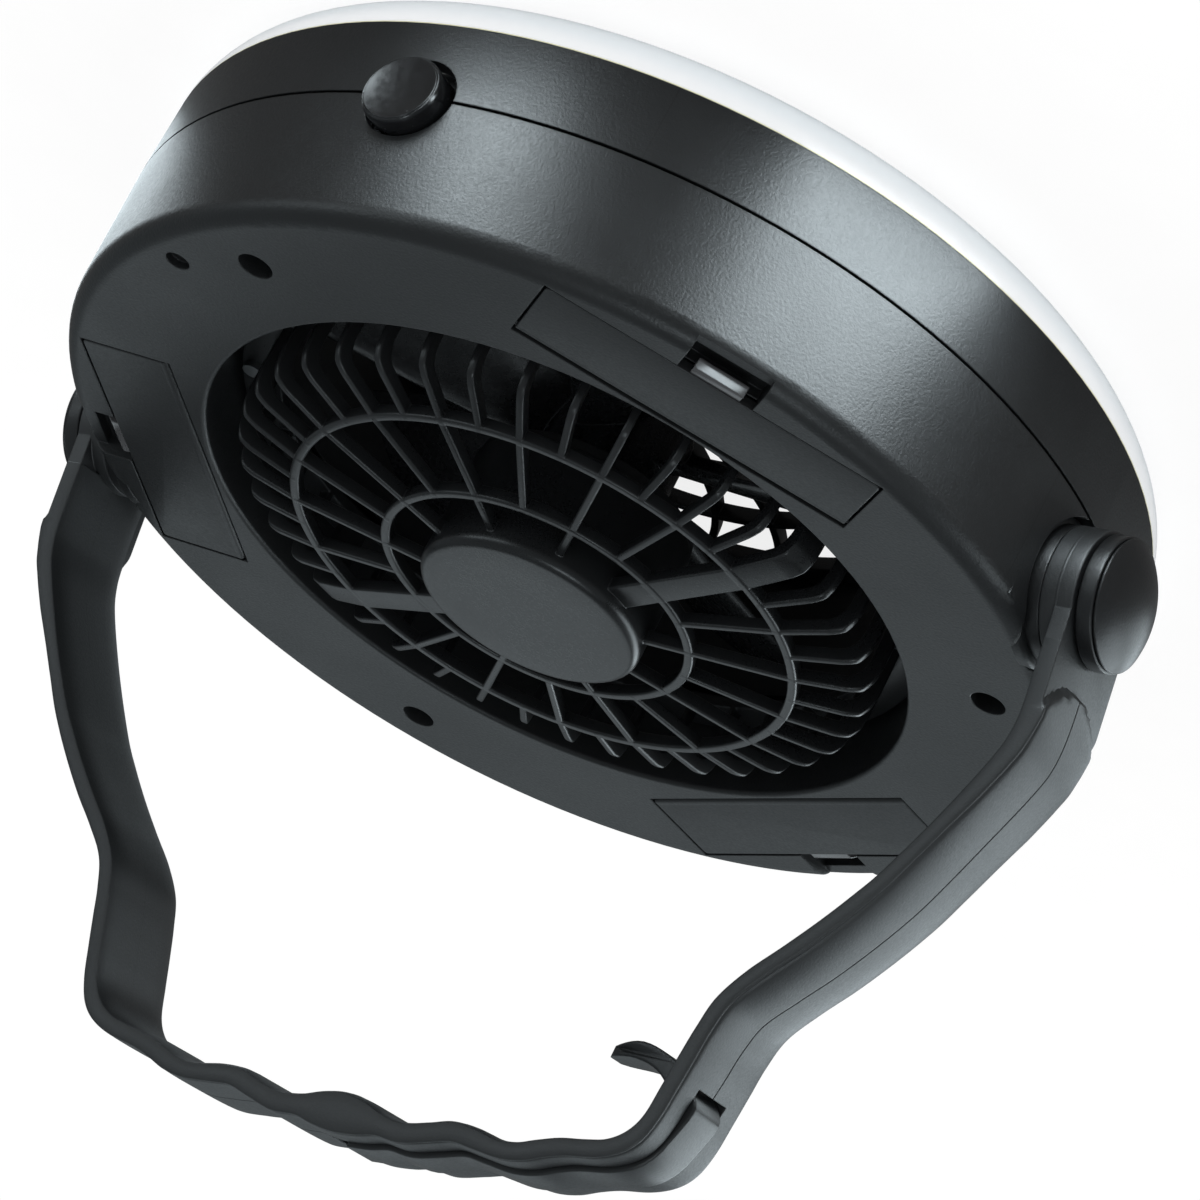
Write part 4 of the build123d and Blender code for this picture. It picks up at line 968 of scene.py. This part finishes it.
def floor_material():
    """Pale floor: seen straight it is white with a faint shadow, and in gloss it is dim."""
    material, tree, shader, place = new_material("floor_paint")
    tree.nodes.remove(shader)
    speck = remap(tree, noise(tree, place, 90.0, 3.0), 0.3, 0.7, 0.0, 1.0)
    colour = blend_colours(tree, speck, (0.80, 0.80, 0.80), (0.84, 0.84, 0.84))
    paint = add_node(tree, "ShaderNodeBsdfDiffuse", {"Color": colour}).outputs[0]
    glow = emission(tree, (1, 1, 1, 1), 1.06)
    dim = emission(tree, (1, 1, 1, 1), 0.07)
    rays = add_node(tree, "ShaderNodeLightPath")
    seen = maths(tree, "MULTIPLY", rays.outputs["Is Camera Ray"], 0.8)
    mixed = add_node(tree, "ShaderNodeMixShader", {0: seen, 1: paint, 2: glow}).outputs[0]
    gloss = maths(tree, "MULTIPLY", rays.outputs["Is Glossy Ray"], 0.85)
    mixed = add_node(tree, "ShaderNodeMixShader", {0: gloss, 1: mixed, 2: dim}).outputs[0]
    tree.links.new(mixed, tree.nodes["Material Output"].inputs["Surface"])
    return material


def glow_sheet(name, corners, strength):
    """A cool white sheet that only gloss shows."""
    material, tree, shader = new_material(name)[:3]
    tree.nodes.remove(shader)
    glow = emission(tree, COOL_WHITE, strength)
    tree.links.new(glow, tree.nodes["Material Output"].inputs["Surface"])
    piece = flat_mesh(name, corners, material)
    piece.visible_camera = False
    piece.visible_diffuse = False
    piece.visible_shadow = False


def card(name, start, end, near, far, strength):
    """A sheet on the floor between two bearings in degrees and two radii in millimetres."""
    turns = [radians(start + (end - start) * index / 12) for index in range(13)]
    rim = [(near * MM * cos(turn), near * MM * sin(turn), 0.5 * MM) for turn in turns]
    rim += [(far * MM * cos(turn), far * MM * sin(turn), 0.5 * MM) for turn in reversed(turns)]
    glow_sheet(name, rim, strength)


def screen(name, heading, height, distance, wide, tall, strength):
    """A sheet that faces the fan. Heading and height are in degrees, and lengths in metres."""
    turn, tilt = radians(heading), radians(height)
    away = Vector((cos(turn) * cos(tilt), sin(turn) * cos(tilt), sin(tilt)))
    side = Vector((-sin(turn), cos(turn), 0.0))
    rise = away.cross(side).normalized()
    middle = away * distance
    corners = [middle + side * x * wide / 2 + rise * y * tall / 2 for x, y in SQUARE]
    glow_sheet(name, [tuple(corner) for corner in corners], strength)


world_light()
FLOOR_HALF = 3.0
flat_mesh("floor", [(x * FLOOR_HALF, y * FLOOR_HALF, 0.0) for x, y in SQUARE], floor_material())
card("card_right", 24.0, 51.0, 100.0, 190.0, 16.0)
card("card_front", 81.0, 98.0, 116.0, 190.0, 15.0)
card("card_left", 148.0, 200.0, 98.0, 165.0, 4.0)
card("card_knob", -60.0, -26.0, 135.0, 330.0, 2.3)
screen("screen_side", -60.0, 14.0, 0.5, 0.7, 0.24, 3.4)
screen("screen_near", 121.0, 4.0, 1.2, 1.0, 0.40, 2.2)
card("card_arm", 204.0, 244.0, 96.0, 190.0, 0.5)
screen("screen_back", 234.0, 30.0, 1.2, 0.8, 0.7, 0.75)
screen("screen_top", 36.0, 61.0, 1.2, 0.34, 0.30, 6.0)
